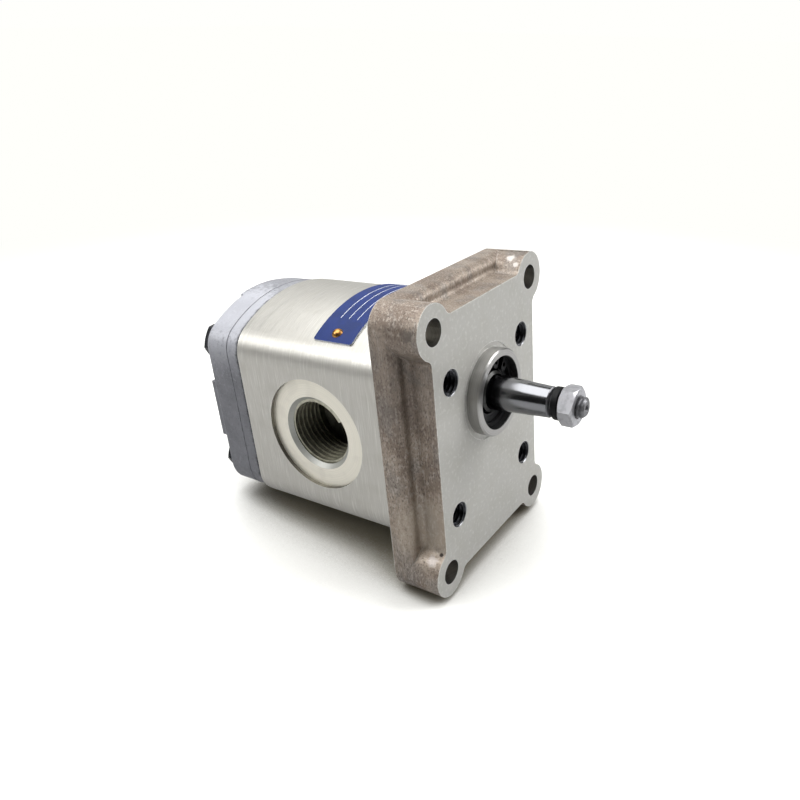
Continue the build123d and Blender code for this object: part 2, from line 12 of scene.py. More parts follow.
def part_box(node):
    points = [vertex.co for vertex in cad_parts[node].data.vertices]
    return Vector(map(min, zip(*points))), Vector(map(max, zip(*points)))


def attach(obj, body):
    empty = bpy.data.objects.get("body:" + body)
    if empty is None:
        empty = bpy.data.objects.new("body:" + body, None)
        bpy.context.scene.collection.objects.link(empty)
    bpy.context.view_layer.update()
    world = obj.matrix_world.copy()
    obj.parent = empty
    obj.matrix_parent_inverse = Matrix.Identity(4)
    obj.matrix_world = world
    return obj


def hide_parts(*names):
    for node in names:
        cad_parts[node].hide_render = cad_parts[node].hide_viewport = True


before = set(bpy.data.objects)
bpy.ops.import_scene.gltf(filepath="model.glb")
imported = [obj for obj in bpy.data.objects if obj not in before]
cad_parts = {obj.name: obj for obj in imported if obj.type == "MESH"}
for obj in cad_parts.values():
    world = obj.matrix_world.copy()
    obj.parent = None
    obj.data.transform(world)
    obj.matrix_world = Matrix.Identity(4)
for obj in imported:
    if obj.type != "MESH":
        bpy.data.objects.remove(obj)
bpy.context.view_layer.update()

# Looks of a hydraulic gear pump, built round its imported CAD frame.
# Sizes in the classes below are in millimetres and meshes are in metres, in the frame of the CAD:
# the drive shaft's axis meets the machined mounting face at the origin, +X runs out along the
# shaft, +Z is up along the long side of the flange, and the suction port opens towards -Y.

LOG = logging.getLogger("gear_pump")
MM = 0.001
TAU = 2.0 * math.pi


class Body(Enum):
    """The bodies that added pieces ride on, by their names in the CAD."""

    HOUSING = "housing"
    DRIVE = "drive_shaft"


class Axis(Enum):
    """The shafts' direction and the ports' direction."""

    X = (1.0, 0.0, 0.0)
    Y = (0.0, 1.0, 0.0)


# ---------------------------------------------------------------- nodes and colours


def feed(socket: bpy.types.NodeSocket, value: object) -> None:
    """Links an input to a value that is a socket, or sets the input to a plain value.

    Args:
        socket: the input.
        value: an output socket, a number, a vector or a colour.
    """
    if isinstance(value, bpy.types.NodeSocket):
        socket.id_data.links.new(value, socket)
    else:
        socket.default_value = value


def add_node(tree: bpy.types.NodeTree, kind: str, settings: dict | None = None,
             inputs: dict | None = None) -> bpy.types.Node:
    """Adds one node with its settings, its input values and its links.

    Args:
        tree: the tree that the node joins.
        kind: the node's type, such as "ShaderNodeTexNoise".
        settings: attributes of the node.
        inputs: input values or output sockets, by input name or index.

    Returns:
        The new node.
    """
    node = tree.nodes.new(kind)
    for name, value in (settings or {}).items():
        setattr(node, name, value)
    for key, value in (inputs or {}).items():
        feed(node.inputs[key], value)
    return node


def linear(hex_colour: str) -> tuple[float, float, float, float]:
    """Turns an sRGB hex colour into a linear colour.

    Args:
        hex_colour: six hex digits, such as "b4b3ae".

    Returns:
        Red, green, blue and alpha.
    """
    values = []
    for start in (0, 2, 4):
        value = int(hex_colour[start:start + 2], 16) / 255
        values.append(value / 12.92 if value <= 0.04045 else ((value + 0.055) / 1.055) ** 2.4)
    return (*values, 1.0)


class Surface:
    """A material while it is being built: its tree, its coordinates, and its colour, roughness and
    normal so far, each a plain value until a layer turns it into a socket."""

    def __init__(self, material: bpy.types.Material, colour: str, roughness: float) -> None:
        """Starts from a plain colour and roughness.

        Args:
            material: the material that holds the tree.
            colour: sRGB hex colour.
            roughness: roughness from 0 to 1.
        """
        self.tree = material.node_tree
        self.shader = self.tree.nodes["Principled BSDF"]
        place = add_node(self.tree, "ShaderNodeTexCoord")
        scaled = add_node(self.tree, "ShaderNodeVectorMath", {"operation": "SCALE"},
                          {0: place.outputs["Object"], "Scale": 1 / MM})
        self.mm = scaled.outputs[0]
        self.colour: object = linear(colour)
        self.roughness: object = roughness
        self.normal: bpy.types.NodeSocket | None = None

    def math(self, operation: str, *values: object, clamp: bool = False) -> bpy.types.NodeSocket:
        """Adds a Math node and returns its output.

        Args:
            operation: the Math node's operation.
            values: numbers or sockets, in order.
            clamp: whether the result is held between 0 and 1.

        Returns:
            The output socket.
        """
        settings = {"operation": operation, "use_clamp": clamp}
        return add_node(self.tree, "ShaderNodeMath", settings, dict(enumerate(values))).outputs[0]

    def ramp(self, value: bpy.types.NodeSocket, low: float, high: float) -> bpy.types.NodeSocket:
        """Turns a value into a smooth step from low to high.

        Args:
            value: the socket to read.
            low: where the step starts.
            high: where the step ends.

        Returns:
            A socket from 0 to 1.
        """
        node = add_node(self.tree, "ShaderNodeMapRange", {"interpolation_type": "SMOOTHSTEP"},
                        {"Value": value, "From Min": low, "From Max": high})
        return node.outputs[0]

    def noise(self, cell: tuple[float, float, float], detail: float = 3.0,
              offset: float = 0.0) -> bpy.types.NodeSocket:
        """Noise with a cell of a real size.

        Args:
            cell: size of one cell along X, Y and Z, in millimetres.
            detail: octaves of finer noise.
            offset: shift along X, so that two layers don't coincide.

        Returns:
            The noise, about 0.5 on average.
        """
        stretch = tuple(1 / c for c in cell)
        mapped = add_node(self.tree, "ShaderNodeMapping", {"vector_type": "POINT"},
                          {"Vector": self.mm, "Location": (offset, 0.37 * offset, 0.0), "Scale": stretch})
        return add_node(self.tree, "ShaderNodeTexNoise", {},
                        {"Vector": mapped.outputs[0], "Scale": 1.0, "Detail": detail}).outputs[0]

    def mix_colour(self, tint: str, share: bpy.types.NodeSocket) -> None:
        """Turns the colour towards a tint where share is high.

        Args:
            tint: sRGB hex colour.
            share: socket from 0 to 1.
        """
        node = add_node(self.tree, "ShaderNodeMix", {"data_type": "RGBA"},
                        {0: share, 6: self.colour, 7: linear(tint)})
        self.colour = node.outputs[2]

    def mix_roughness(self, value: float, share: bpy.types.NodeSocket) -> None:
        """Turns the roughness towards a value where share is high.

        Args:
            value: roughness where share is 1.
            share: socket from 0 to 1.
        """
        node = add_node(self.tree, "ShaderNodeMix", {"data_type": "FLOAT"},
                        {0: share, 2: self.roughness, 3: value})
        self.roughness = node.outputs[0]

    def raise_by(self, height: bpy.types.NodeSocket, size: float) -> None:
        """Adds a height map to the normal.

        Args:
            height: socket from 0 to 1.
            size: real height of the map in millimetres.
        """
        inputs: dict = {"Height": height, "Distance": size * MM, "Strength": 1.0}
        if self.normal is not None:
            inputs["Normal"] = self.normal
        self.normal = add_node(self.tree, "ShaderNodeBump", {}, inputs).outputs[0]

    def close(self, metallic: float) -> None:
        """Feeds what was built to the shader.

        Args:
            metallic: 1 for bare metal, less where a skin covers it.
        """
        feed(self.shader.inputs["Metallic"], metallic)
        feed(self.shader.inputs["Base Color"], self.colour)
        feed(self.shader.inputs["Roughness"], self.roughness)
        if self.normal is not None:
            feed(self.shader.inputs["Normal"], self.normal)


# ---------------------------------------------------------------- layers of a finish


@dataclass(frozen=True)
class Layer:
    """One thing that a surface shows, added to the material by add()."""

    def add(self, surface: Surface) -> None:
        """Adds the layer to a surface."""
        raise NotImplementedError


@dataclass(frozen=True)
class Mottle(Layer):
    """Patches of another colour, and of another roughness if one is given."""

    tint: str
    cell: tuple[float, float, float]
    low: float = 0.45
    high: float = 0.6
    share: float = 1.0
    rough: float | None = None
    detail: float = 4.0
    offset: float = 0.0

    def add(self, surface: Surface) -> None:
        """Mixes the tint in where the noise is high.

        Args:
            surface: the material while it is being built.
        """
        mask = surface.ramp(surface.noise(self.cell, self.detail, self.offset), self.low, self.high)
        surface.mix_colour(self.tint, surface.math("MULTIPLY", mask, self.share))
        if self.rough is not None:
            surface.mix_roughness(self.rough, mask)


@dataclass(frozen=True)
class Grain(Layer):
    """Fine relief of a real height: cast grain, or brushing where the cell is long one way."""

    cell: tuple[float, float, float]
    height: float
    detail: float = 3.0
    offset: float = 0.0
    rough_share: float = 0.0

    def add(self, surface: Surface) -> None:
        """Adds the relief and spreads the roughness by it.

        Args:
            surface: the material while it is being built.
        """
        noise = surface.noise(self.cell, self.detail, self.offset)
        surface.raise_by(noise, self.height)
        if self.rough_share:
            spread = surface.math("MULTIPLY", surface.math("SUBTRACT", noise, 0.5), self.rough_share)
            surface.roughness = surface.math("ADD", surface.roughness, spread, clamp=True)


@dataclass(frozen=True)
class Pits(Layer):
    """Small dark pits, spaced at random."""

    spacing: float
    radius: float
    depth: float
    tint: str
    share: float = 1.0
    stretch: tuple[float, float, float] = (1.0, 1.0, 1.0)

    def add(self, surface: Surface) -> None:
        """Darkens and sinks the surface near some of the Voronoi points.

        Args:
            surface: the material while it is being built.
        """
        scale = tuple(1 / (self.spacing * s) for s in self.stretch)
        mapped = add_node(surface.tree, "ShaderNodeMapping", {}, {"Vector": surface.mm, "Scale": scale})
        cells = add_node(surface.tree, "ShaderNodeTexVoronoi", {},
                         {"Vector": mapped.outputs[0], "Scale": 1.0})
        away = surface.math("DIVIDE", cells.outputs["Distance"], self.radius / self.spacing)
        pick = add_node(surface.tree, "ShaderNodeSeparateColor", {}, {0: cells.outputs["Color"]})
        size = surface.math("MULTIPLY_ADD", pick.outputs[0], -1.6, 2.4)
        near = surface.ramp(surface.math("MULTIPLY", away, size), 1.0, 0.4)
        surface.mix_colour(self.tint, surface.math("MULTIPLY", near, self.share))
        surface.raise_by(surface.math("SUBTRACT", 1.0, near), self.depth)


@dataclass(frozen=True)
class Turning(Layer):
    """Fine rings left by a lathe or a boring tool round an axis."""

    axis: Axis
    centre: tuple[float, float, float]
    pitch: float
    height: float
    tint: str = "ffffff"
    share: float = 0.0

    def add(self, surface: Surface) -> None:
        """Adds relief that depends on the distance from the axis and the place along it.

        Args:
            surface: the material while it is being built.
        """
        direction = Vector(self.axis.value)
        offset = add_node(surface.tree, "ShaderNodeVectorMath", {"operation": "SUBTRACT"},
                          {0: surface.mm, 1: self.centre})
        flat = add_node(surface.tree, "ShaderNodeVectorMath", {"operation": "MULTIPLY"},
                        {0: offset.outputs[0], 1: tuple(Vector((1, 1, 1)) - direction)})
        radius = add_node(surface.tree, "ShaderNodeVectorMath", {"operation": "LENGTH"}, {0: flat.outputs[0]})
        along = add_node(surface.tree, "ShaderNodeVectorMath", {"operation": "DOT_PRODUCT"},
                         {0: offset.outputs[0], 1: tuple(direction)})
        spread = surface.math("ADD", radius.outputs["Value"], along.outputs["Value"])
        rings = add_node(surface.tree, "ShaderNodeTexNoise", {"noise_dimensions": "1D"},
                         {"W": surface.math("DIVIDE", spread, self.pitch), "Scale": 1.0, "Detail": 2.0})
        surface.raise_by(rings.outputs[0], self.height)
        if self.share:
            mask = surface.ramp(rings.outputs[0], 0.4, 0.65)
            surface.mix_colour(self.tint, surface.math("MULTIPLY", mask, self.share))


@dataclass(frozen=True)
class EdgeWearAndHighlight(Layer):
    """Edges rubbed bright and smooth, partly wear and partly painted edge highlights."""

    radius: float
    tint: str
    share: float
    rough: float

    def add(self, surface: Surface) -> None:
        """Finds the edges by how far a rounded normal leans from the true one.

        Args:
            surface: the material while it is being built.
        """
        rounded = add_node(surface.tree, "ShaderNodeBevel", {"samples": 4}, {"Radius": self.radius * MM})
        plain = add_node(surface.tree, "ShaderNodeNewGeometry")
        lean = add_node(surface.tree, "ShaderNodeVectorMath", {"operation": "DOT_PRODUCT"},
                        {0: rounded.outputs[0], 1: plain.outputs["Normal"]})
        edge = surface.ramp(lean.outputs["Value"], 0.995, 0.9)
        broken = surface.ramp(surface.noise((1.5, 1.5, 1.5), 4.0, 7.0), 0.3, 0.55)
        mask = surface.math("MULTIPLY", surface.math("MULTIPLY", edge, broken), self.share)
        surface.mix_colour(self.tint, mask)
        surface.mix_roughness(self.rough, mask)


@dataclass(frozen=True)
class Spot(Layer):
    """One patch of another colour and roughness at a known place, with a ragged edge."""

    centre: tuple[float, float, float]
    radius: float
    tint: str
    share: float
    rough: float
    depth: float = 0.0

    def add(self, surface: Surface) -> None:
        """Mixes the patch in by the distance from its centre.

        Args:
            surface: the material while it is being built.
        """
        away = add_node(surface.tree, "ShaderNodeVectorMath", {"operation": "DISTANCE"},
                        {0: surface.mm, 1: self.centre})
        ragged = surface.math("MULTIPLY_ADD", surface.noise((1.1, 1.1, 1.1), 3.0, 3.0), 1.4 * self.radius,
                              away.outputs["Value"])
        mask = surface.ramp(ragged, 1.9 * self.radius, 1.2 * self.radius)
        surface.mix_colour(self.tint, surface.math("MULTIPLY", mask, self.share))
        surface.mix_roughness(self.rough, mask)
        if self.depth:
            surface.raise_by(surface.math("SUBTRACT", 1.0, mask), self.depth)


@dataclass(frozen=True)
class Band(Layer):
    """A thin dark band where two parts meet, dirt and painted shade in the gap, at a known place along X."""

    place: float
    half_width: float
    tint: str
    share: float

    def add(self, surface: Surface) -> None:
        """Mixes the dark band in by the distance from the joint.

        Args:
            surface: the material while it is being built.
        """
        along = add_node(surface.tree, "ShaderNodeSeparateXYZ", {}, {0: surface.mm}).outputs[0]
        away = surface.math("ABSOLUTE", surface.math("SUBTRACT", along, self.place))
        ragged = surface.math("MULTIPLY_ADD", surface.noise((4.0, 2.0, 2.0), 3.0, 6.0), self.half_width, away)
        mask = surface.ramp(ragged, 1.6 * self.half_width, 0.9 * self.half_width)
        surface.mix_colour(self.tint, surface.math("MULTIPLY", mask, self.share))


@dataclass(frozen=True)
class Finish:
    """A material and how its surface was made."""

    name: str
    colour: str
    metallic: float
    roughness: float
    layers: tuple[Layer, ...] = ()
    coat: float = 0.0
    coat_roughness: float = 0.1
    specular: float = 0.5

    def material(self) -> bpy.types.Material:
        """Builds the finish's material, the first time it is asked for.

        Returns:
            The material.
        """
        made = bpy.data.materials.get(self.name)
        if made is not None:
            return made
        made = bpy.data.materials.new(self.name)
        made.use_nodes = True
        surface = Surface(made, self.colour, self.roughness)
        for layer in self.layers:
            layer.add(surface)
        surface.close(self.metallic)
        feed(surface.shader.inputs["Coat Weight"], self.coat)
        feed(surface.shader.inputs["Coat Roughness"], self.coat_roughness)
        feed(surface.shader.inputs["Specular IOR Level"], self.specular)
        return made


# ---------------------------------------------------------------- finishes of this pump

# Gravity-cast aluminium, face-milled: a light satin grey with faint cloudy patches where the
# casting skin's porosity shows through the cut, and bright sharp edges, partly painted highlight.
MILLED_FACE = Finish(
    "milled_cast_aluminium", "b7b6b1", 0.35, 0.46,
    (Mottle("b0afa8", (9.0, 9.0, 9.0), 0.40, 0.68, 0.6, detail=6.0),
     Mottle("d2d2ce", (1.2, 1.2, 1.2), 0.50, 0.74, 0.45, 0.38, 7.0, 5.0),
     Pits(7.0, 0.14, 0.02, "5a5854", 0.6),
     Grain((0.35, 0.35, 0.35), 0.004, 3.0, rough_share=0.3),
     EdgeWearAndHighlight(0.4, "f6f6f4", 0.85, 0.3)))

# The same alloy as it left the mould: a brownish-grey skin with fine grain, a few pits, handling
# scratches down its sides, painted shade as a darker patch high up and painted light as a paler one
# low down, painted highlights on the upper lobe, and a place by the lower lobe where the sprue was ground
# off.
CAST_SKIN = Finish(
    "gravity_cast_aluminium_skin", "988b7e", 0.4, 0.46,
    (Mottle("75665a", (8.0, 5.0, 9.0), 0.42, 0.62, 0.75, 0.52, 7.0),
     Mottle("75726f", (6.0, 5.0, 11.0), 0.48, 0.66, 0.5, 0.44, 6.0, 4.0),
     Mottle("b9b0a5", (0.6, 0.6, 1.2), 0.50, 0.66, 0.5, 0.40, 6.0, 6.0),
     Mottle("4d443c", (0.35, 0.35, 0.7), 0.50, 0.68, 0.65, 0.58, 5.0, 9.0),
     Mottle("c0bab2", (0.22, 0.22, 8.0), 0.58, 0.74, 0.45, 0.38, 3.0, 2.0),
     Mottle("57504a", (0.25, 0.25, 6.0), 0.62, 0.76, 0.4, None, 3.0, 12.0),
     Pits(5.0, 0.3, 0.1, "2c2825", 0.8, (1.0, 1.0, 1.6)),
     Grain((0.45, 0.45, 0.45), 0.04, 4.0, rough_share=0.3),
     Grain((5.0, 5.0, 5.0), 0.14, 2.0, 1.0),
     EdgeWearAndHighlight(0.6, "d4cfc8", 0.6, 0.35),
     # Painted shade: a darker patch high up on the flange's side.
     Spot((-8.0, -33.5, 13.0), 17.0, "5a504a", 0.35, 0.46),
     # Painted light: a paler patch low down on the side.
     Spot((-4.0, -29.0, -31.0), 11.0, "b8ac9c", 0.45, 0.46),
     # Painted highlights: two bright spots on the upper lobe.
     Spot((-3.9, 22.5, 32.4), 1.4, "ece7e2", 0.45, 0.34),
     Spot((-1.6, 20.6, 31.2), 0.9, "ece7e2", 0.45, 0.34),
     Spot((-3.2, -30.8, -40.0), 1.7, "c0bab8", 0.5, 0.36),
     Spot((-1.2, -28.8, -38.8), 0.6, "2a2422", 0.9, 0.6, 0.3),
     Spot((-3.0, -33.4, 27.2), 2.0, "544d48", 0.6, 0.5)))

# Extruded aluminium profile, belt-finished across: near-white satin with hair-fine lines.
BELTED_BODY = Finish(
    "belt_finished_extruded_aluminium", "c2c0ba", 1.0, 0.46,
    (Mottle("bdbbb3", (0.5, 14.0, 14.0), 0.45, 0.62, 0.5, 0.48, 4.0),
     Mottle("dddcd6", (0.22, 9.0, 9.0), 0.52, 0.66, 0.45, 0.36, 3.0, 3.0),
     Mottle("b7b5ad", (11.0, 7.0, 5.0), 0.5, 0.72, 0.4, None, 5.0, 8.0),
     Grain((0.16, 8.0, 8.0), 0.006, 3.0, rough_share=0.3),
     EdgeWearAndHighlight(0.25, "f0efec", 0.6, 0.3)))

# Port seats cut by a spotfacing tool: bright creamy aluminium with fine rings, one finish a seat.
SPOTFACED_SUCTION = Finish(
    "spotfaced_aluminium_suction", "f0ecdf", 0.85, 0.46,
    (Turning(Axis.Y, (-42.5, 0.0, -9.8), 0.28, 0.004, "d6d3c7", 0.35),
     Mottle("dcd8cc", (5.0, 5.0, 5.0), 0.5, 0.7, 0.4)))
SPOTFACED_PRESSURE = replace(SPOTFACED_SUCTION, name="spotfaced_aluminium_pressure")

# The wall that the spotfacing tool leaves: a narrow step of the same cut metal, coloured dark as painted
# shade against its bright floor.
SPOTFACE_WALL = Finish(
    "spotface_wall_aluminium", "77756e", 1.0, 0.30,
    (Mottle("5c5a54", (3.0, 3.0, 3.0), 0.45, 0.65, 0.6),))

# The cone at a port's mouth that guides the fitting in: the same cut metal, turned away from the light.
PORT_CONE = Finish(
    "countersunk_aluminium", "c2c4c0", 0.5, 0.46,
    (Turning(Axis.Y, (-42.5, 0.0, -9.8), 0.24, 0.006, "96948b", 0.5),))

# Tapped and bored aluminium inside the pump: a thin oil film darkens it to olive.
OILED_BORE = Finish(
    "oiled_tapped_aluminium", "6b695d", 0.6, 0.42,
    (Mottle("4a483e", (1.5, 1.5, 1.5), 0.40, 0.65, 0.6),), 0.15, 0.3)

# The ridges of the ports' threads: coloured brighter than the oily groove between them.
THREAD_RIDGE = Finish(
    "tapped_thread_aluminium", "bdbba9", 0.6, 0.36,
    (Mottle("8d8b7b", (1.5, 1.5, 1.5), 0.40, 0.65, 0.5),), 0.15, 0.3)

# Tapped holes in the casting: sharp thread in shadow, bluish and nearly black at the bottom.
TAPPED_HOLE = Finish(
    "tapped_cast_aluminium", "7e7f82", 1.0, 0.28,
    (Mottle("4a4b4e", (0.9, 0.9, 0.9), 0.40, 0.65, 0.7),))

# Drilled holes through the casting: plain dull aluminium.
DRILLED_HOLE = Finish(
    "drilled_cast_aluminium", "b9b7b2", 1.0, 0.34,
    (Turning(Axis.X, (0.0, 0.0, 0.0), 0.4, 0.01, "8f8d88", 0.4),))

# The pilot, turned in a lathe: satin rings round the shaft's axis.
TURNED_PILOT = Finish(
    "turned_cast_aluminium", "aeadab", 0.9, 0.30,
    (Turning(Axis.X, (0.0, 0.0, 0.0), 0.3, 0.008, "92908e", 0.5),
     Mottle("aba8a4", (4.0, 4.0, 4.0), 0.5, 0.68, 0.35)))

# Metal under grease, in the seal's pocket and on the shaft's shoulder: nearly black, grease with painted
# shade for the dark inside the pocket.
GREASE_AND_SHADE_METAL = Finish(
    "grease_darkened_metal", "454544", 0.8, 0.36,
    (Mottle("2c2c2b", (1.6, 1.6, 1.6), 0.45, 0.65, 0.7),))

# Pressure die casting: blue-grey and a little shiny, with a soft flow pattern and dull scuffs, a
# painted highlight on the top, painted shade down the side, edges worn and painted bright, and dirt
# with painted shade along the joint with the body.
DIE_CAST_COVER = Finish(
    "pressure_die_cast_aluminium", "8f9096", 0.1, 0.42,
    (Mottle("707177", (7.0, 6.0, 6.0), 0.40, 0.68, 0.5, 0.46, 5.0),
     Mottle("acadb3", (1.2, 1.2, 1.2), 0.52, 0.72, 0.35, 0.36, 5.0, 4.0),
     Mottle("505156", (0.6, 0.6, 0.6), 0.56, 0.74, 0.5, None, 5.0, 9.0),
     Pits(4.5, 0.2, 0.05, "3a3a3e", 0.7),
     Grain((0.35, 0.35, 0.35), 0.02, 4.0, rough_share=0.3),
     # Worn edges, also painted bright as edge highlights.
     EdgeWearAndHighlight(0.5, "eeeff4", 0.7, 0.3),
     # Painted highlight: a pale patch on the top of the cover.
     Spot((-78.0, -19.0, 21.0), 17.0, "f0f2fa", 0.38, 0.36),
     # Painted shade: a dark patch down the cover's side.
     Spot((-78.0, -33.0, -16.0), 30.0, "4a4b50", 0.5, 0.44),
     # Dirt and painted shade in the gap along the joint with the body.
     Band(-70.0, 2.0, "222224", 0.9)), specular=0.35)

# The crease where the two halves of the cover's mould met.
MOULD_CREASE = Finish(
    "die_cast_parting_line", "83848a", 0.15, 0.45,
    (Mottle("5c5d62", (1.5, 1.5, 1.5), 0.4, 0.6, 0.6),))

# Hardened shaft, cylindrically ground: near-mirror steel with very fine rings.
GROUND_STEEL = Finish(
    "ground_hardened_steel", "86878a", 1.0, 0.17,
    (Turning(Axis.X, (0.0, 0.0, 0.0), 0.12, 0.0012, "737476", 0.3),
     Mottle("7c7d80", (3.0, 8.0, 8.0), 0.5, 0.7, 0.3)))

# Black oxide on spring steel: a deep black with soft oily shine.
BLACK_SPRING = Finish(
    "black_oxide_spring_steel", "09090b", 0.2, 0.5,
    (Mottle("191a1c", (0.8, 0.8, 0.8), 0.5, 0.7, 0.5),
     EdgeWearAndHighlight(0.06, "4b4c50", 0.3, 0.4)), specular=0.25)

# Black bolt heads, a little worn at the corners.
BLACK_BOLT = Finish(
    "black_oxide_bolt_steel", "1b1c20", 0.7, 0.40,
    (Mottle("303238", (1.2, 1.2, 1.2), 0.5, 0.7, 0.6),
     Grain((0.3, 0.3, 0.3), 0.01),
     EdgeWearAndHighlight(0.25, "7a7c80", 0.55, 0.32)))

# Zinc-plated nut gone dull: a soft grey with faint blotches, and edges worn and painted bright as highlights.
DULL_ZINC = Finish(
    "dull_zinc_plated_steel", "bcbcc0", 0.9, 0.38,
    (Mottle("9d9da1", (1.4, 1.4, 1.4), 0.45, 0.65, 0.6, 0.48),
     Grain((0.25, 0.25, 0.25), 0.006),
     EdgeWearAndHighlight(0.25, "dcdce0", 0.7, 0.3)))

# The threaded tip, left as turned: dull dark steel with oil in the thread.
DARK_TIP = Finish(
    "turned_dark_steel", "7b7b7e", 0.7, 0.42,
    (Mottle("4d4d50", (0.7, 0.7, 0.7), 0.45, 0.65, 0.6), Grain((0.2, 0.2, 0.2), 0.005)))

# Nitrile rubber, moulded: black with a soft sheen.
NITRILE = Finish(
    "moulded_nitrile_rubber", "101113", 0.0, 0.42,
    (Mottle("1b1c1e", (1.5, 1.5, 1.5), 0.5, 0.7, 0.6), Grain((0.3, 0.3, 0.3), 0.004)), specular=0.35)

# Aluminium sheet anodised and dyed royal blue.
BLUE_ANODISED = Finish(
    "blue_anodised_aluminium_sheet", "0f2b6c", 0.0, 0.5,
    (Mottle("0e2658", (5.0, 5.0, 5.0), 0.45, 0.65, 0.5),
     Mottle("31528f", (0.3, 6.0, 0.3), 0.64, 0.76, 0.3, None, 3.0, 4.0),
     Grain((0.5, 0.5, 0.5), 0.003)), specular=0.3)

# The plate's cut edge and etched rules: bare pale aluminium.
BARE_SHEET = Finish(
    "bare_aluminium_sheet_edge", "d9dde4", 0.9, 0.38, (Grain((0.3, 0.3, 0.3), 0.003),))

# Drive rivets, cold-headed brass with a coppery tarnish.
BRASS = Finish(
    "cold_headed_brass", "b98a4e", 1.0, 0.28,
    (Mottle("8c5f38", (0.8, 0.8, 0.8), 0.45, 0.65, 0.6, 0.4), Grain((0.25, 0.25, 0.25), 0.005)))

# Inner parts.
BEARING_ALLOY = Finish(
    "extruded_bearing_aluminium", "b0b0aa", 1.0, 0.38,
    (Mottle("9a9a94", (4.0, 4.0, 4.0), 0.5, 0.7, 0.4), Grain((0.2, 5.0, 5.0), 0.004)))
BRONZE_BUSH = Finish(
    "lined_bronze_bush", "a0703f", 1.0, 0.34,
    (Mottle("80562f", (1.0, 1.0, 1.0), 0.5, 0.7, 0.5), Grain((0.2, 0.2, 0.2), 0.003)))
WHITE_POLYAMIDE = Finish(
    "moulded_polyamide", "e6e3d8", 0.0, 0.45,
    (Mottle("d8d4c6", (3.0, 3.0, 3.0), 0.5, 0.7, 0.4), Grain((0.4, 0.4, 0.4), 0.004)))
BRIGHT_SPRING = Finish(
    "drawn_spring_steel", "a8a9ac", 1.0, 0.25,
    (Mottle("8b8c90", (0.8, 0.8, 0.8), 0.5, 0.7, 0.4), Grain((0.15, 0.15, 0.15), 0.002)))

# The studio's floor: white card with no pattern of its own that would draw the eye.
WHITE_CARD = Finish(
    "white_card", "fbfbf8", 0.0, 0.9, (Mottle("f7f7f3", (90.0, 90.0, 90.0), 0.4, 0.6, 0.5),))
BLACK_CLOTH = Finish("black_cloth", "040404", 0.0, 0.95)


# ---------------------------------------------------------------- dressing and keeping pieces


@dataclass(frozen=True)
class FaceRule:
    """Which faces of a CAD node get a finish, by their middle in millimetres and their normal."""

    finish: Finish
    test: Callable[[Vector, Vector], bool]


def dress(node: str, base: Finish, rules: Sequence[FaceRule] = ()) -> None:
    """Gives a CAD node its finishes. Its mesh stays as packed.

    Args:
        node: the CAD node's name.
        base: the finish of every face that no rule picks.
        rules: rules in order; the first that fits a face decides.
    """
    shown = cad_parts[node]
    shown.data.materials.clear()
    shown.data.materials.append(base.material())
    for rule in rules:
        shown.data.materials.append(rule.finish.material())
    for face in shown.data.polygons:
        middle = face.center / MM
        face.material_index = 0
        for place, rule in enumerate(rules, start=1):
            if rule.test(middle, face.normal):
                face.material_index = place
                break
    LOG.info("node %s: %s", node, ", ".join(m.name for m in shown.data.materials))


def keep(piece: bpy.types.Object, body: Body, replaces: Iterable[str] = ()) -> bpy.types.Object:
    """Joins a finished piece to its body and hides the CAD nodes that it stands for.

    Args:
        piece: the mesh object, at the origin.
        body: the body that it moves with.
        replaces: CAD nodes that it stands for.

    Returns:
        The piece.
    """
    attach(piece, body.value)
    for node in replaces:
        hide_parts(node)
    LOG.info("piece %s on %s: %d faces", piece.name, body.value, len(piece.data.polygons))
    return piece


def mesh_object(name: str, shape: bmesh.types.BMesh, finish: Finish, smooth: bool = True) -> bpy.types.Object:
    """Turns a bmesh into an object with its normals outward.

    Args:
        name: the piece's name.
        shape: the bmesh, in metres, freed here.
        finish: the finish of every face.
        smooth: whether faces are shaded smooth.

    Returns:
        The object, linked to the scene.
    """
    bmesh.ops.remove_doubles(shape, verts=shape.verts, dist=1e-7)
    bmesh.ops.recalc_face_normals(shape, faces=shape.faces)
    mesh = bpy.data.meshes.new(name)
    shape.to_mesh(mesh)
    shape.free()
    mesh.materials.append(finish.material())
    for face in mesh.polygons:
        face.use_smooth = smooth
    made = bpy.data.objects.new(name, mesh)
    bpy.context.scene.collection.objects.link(made)
    return made


# ---------------------------------------------------------------- geometry trees


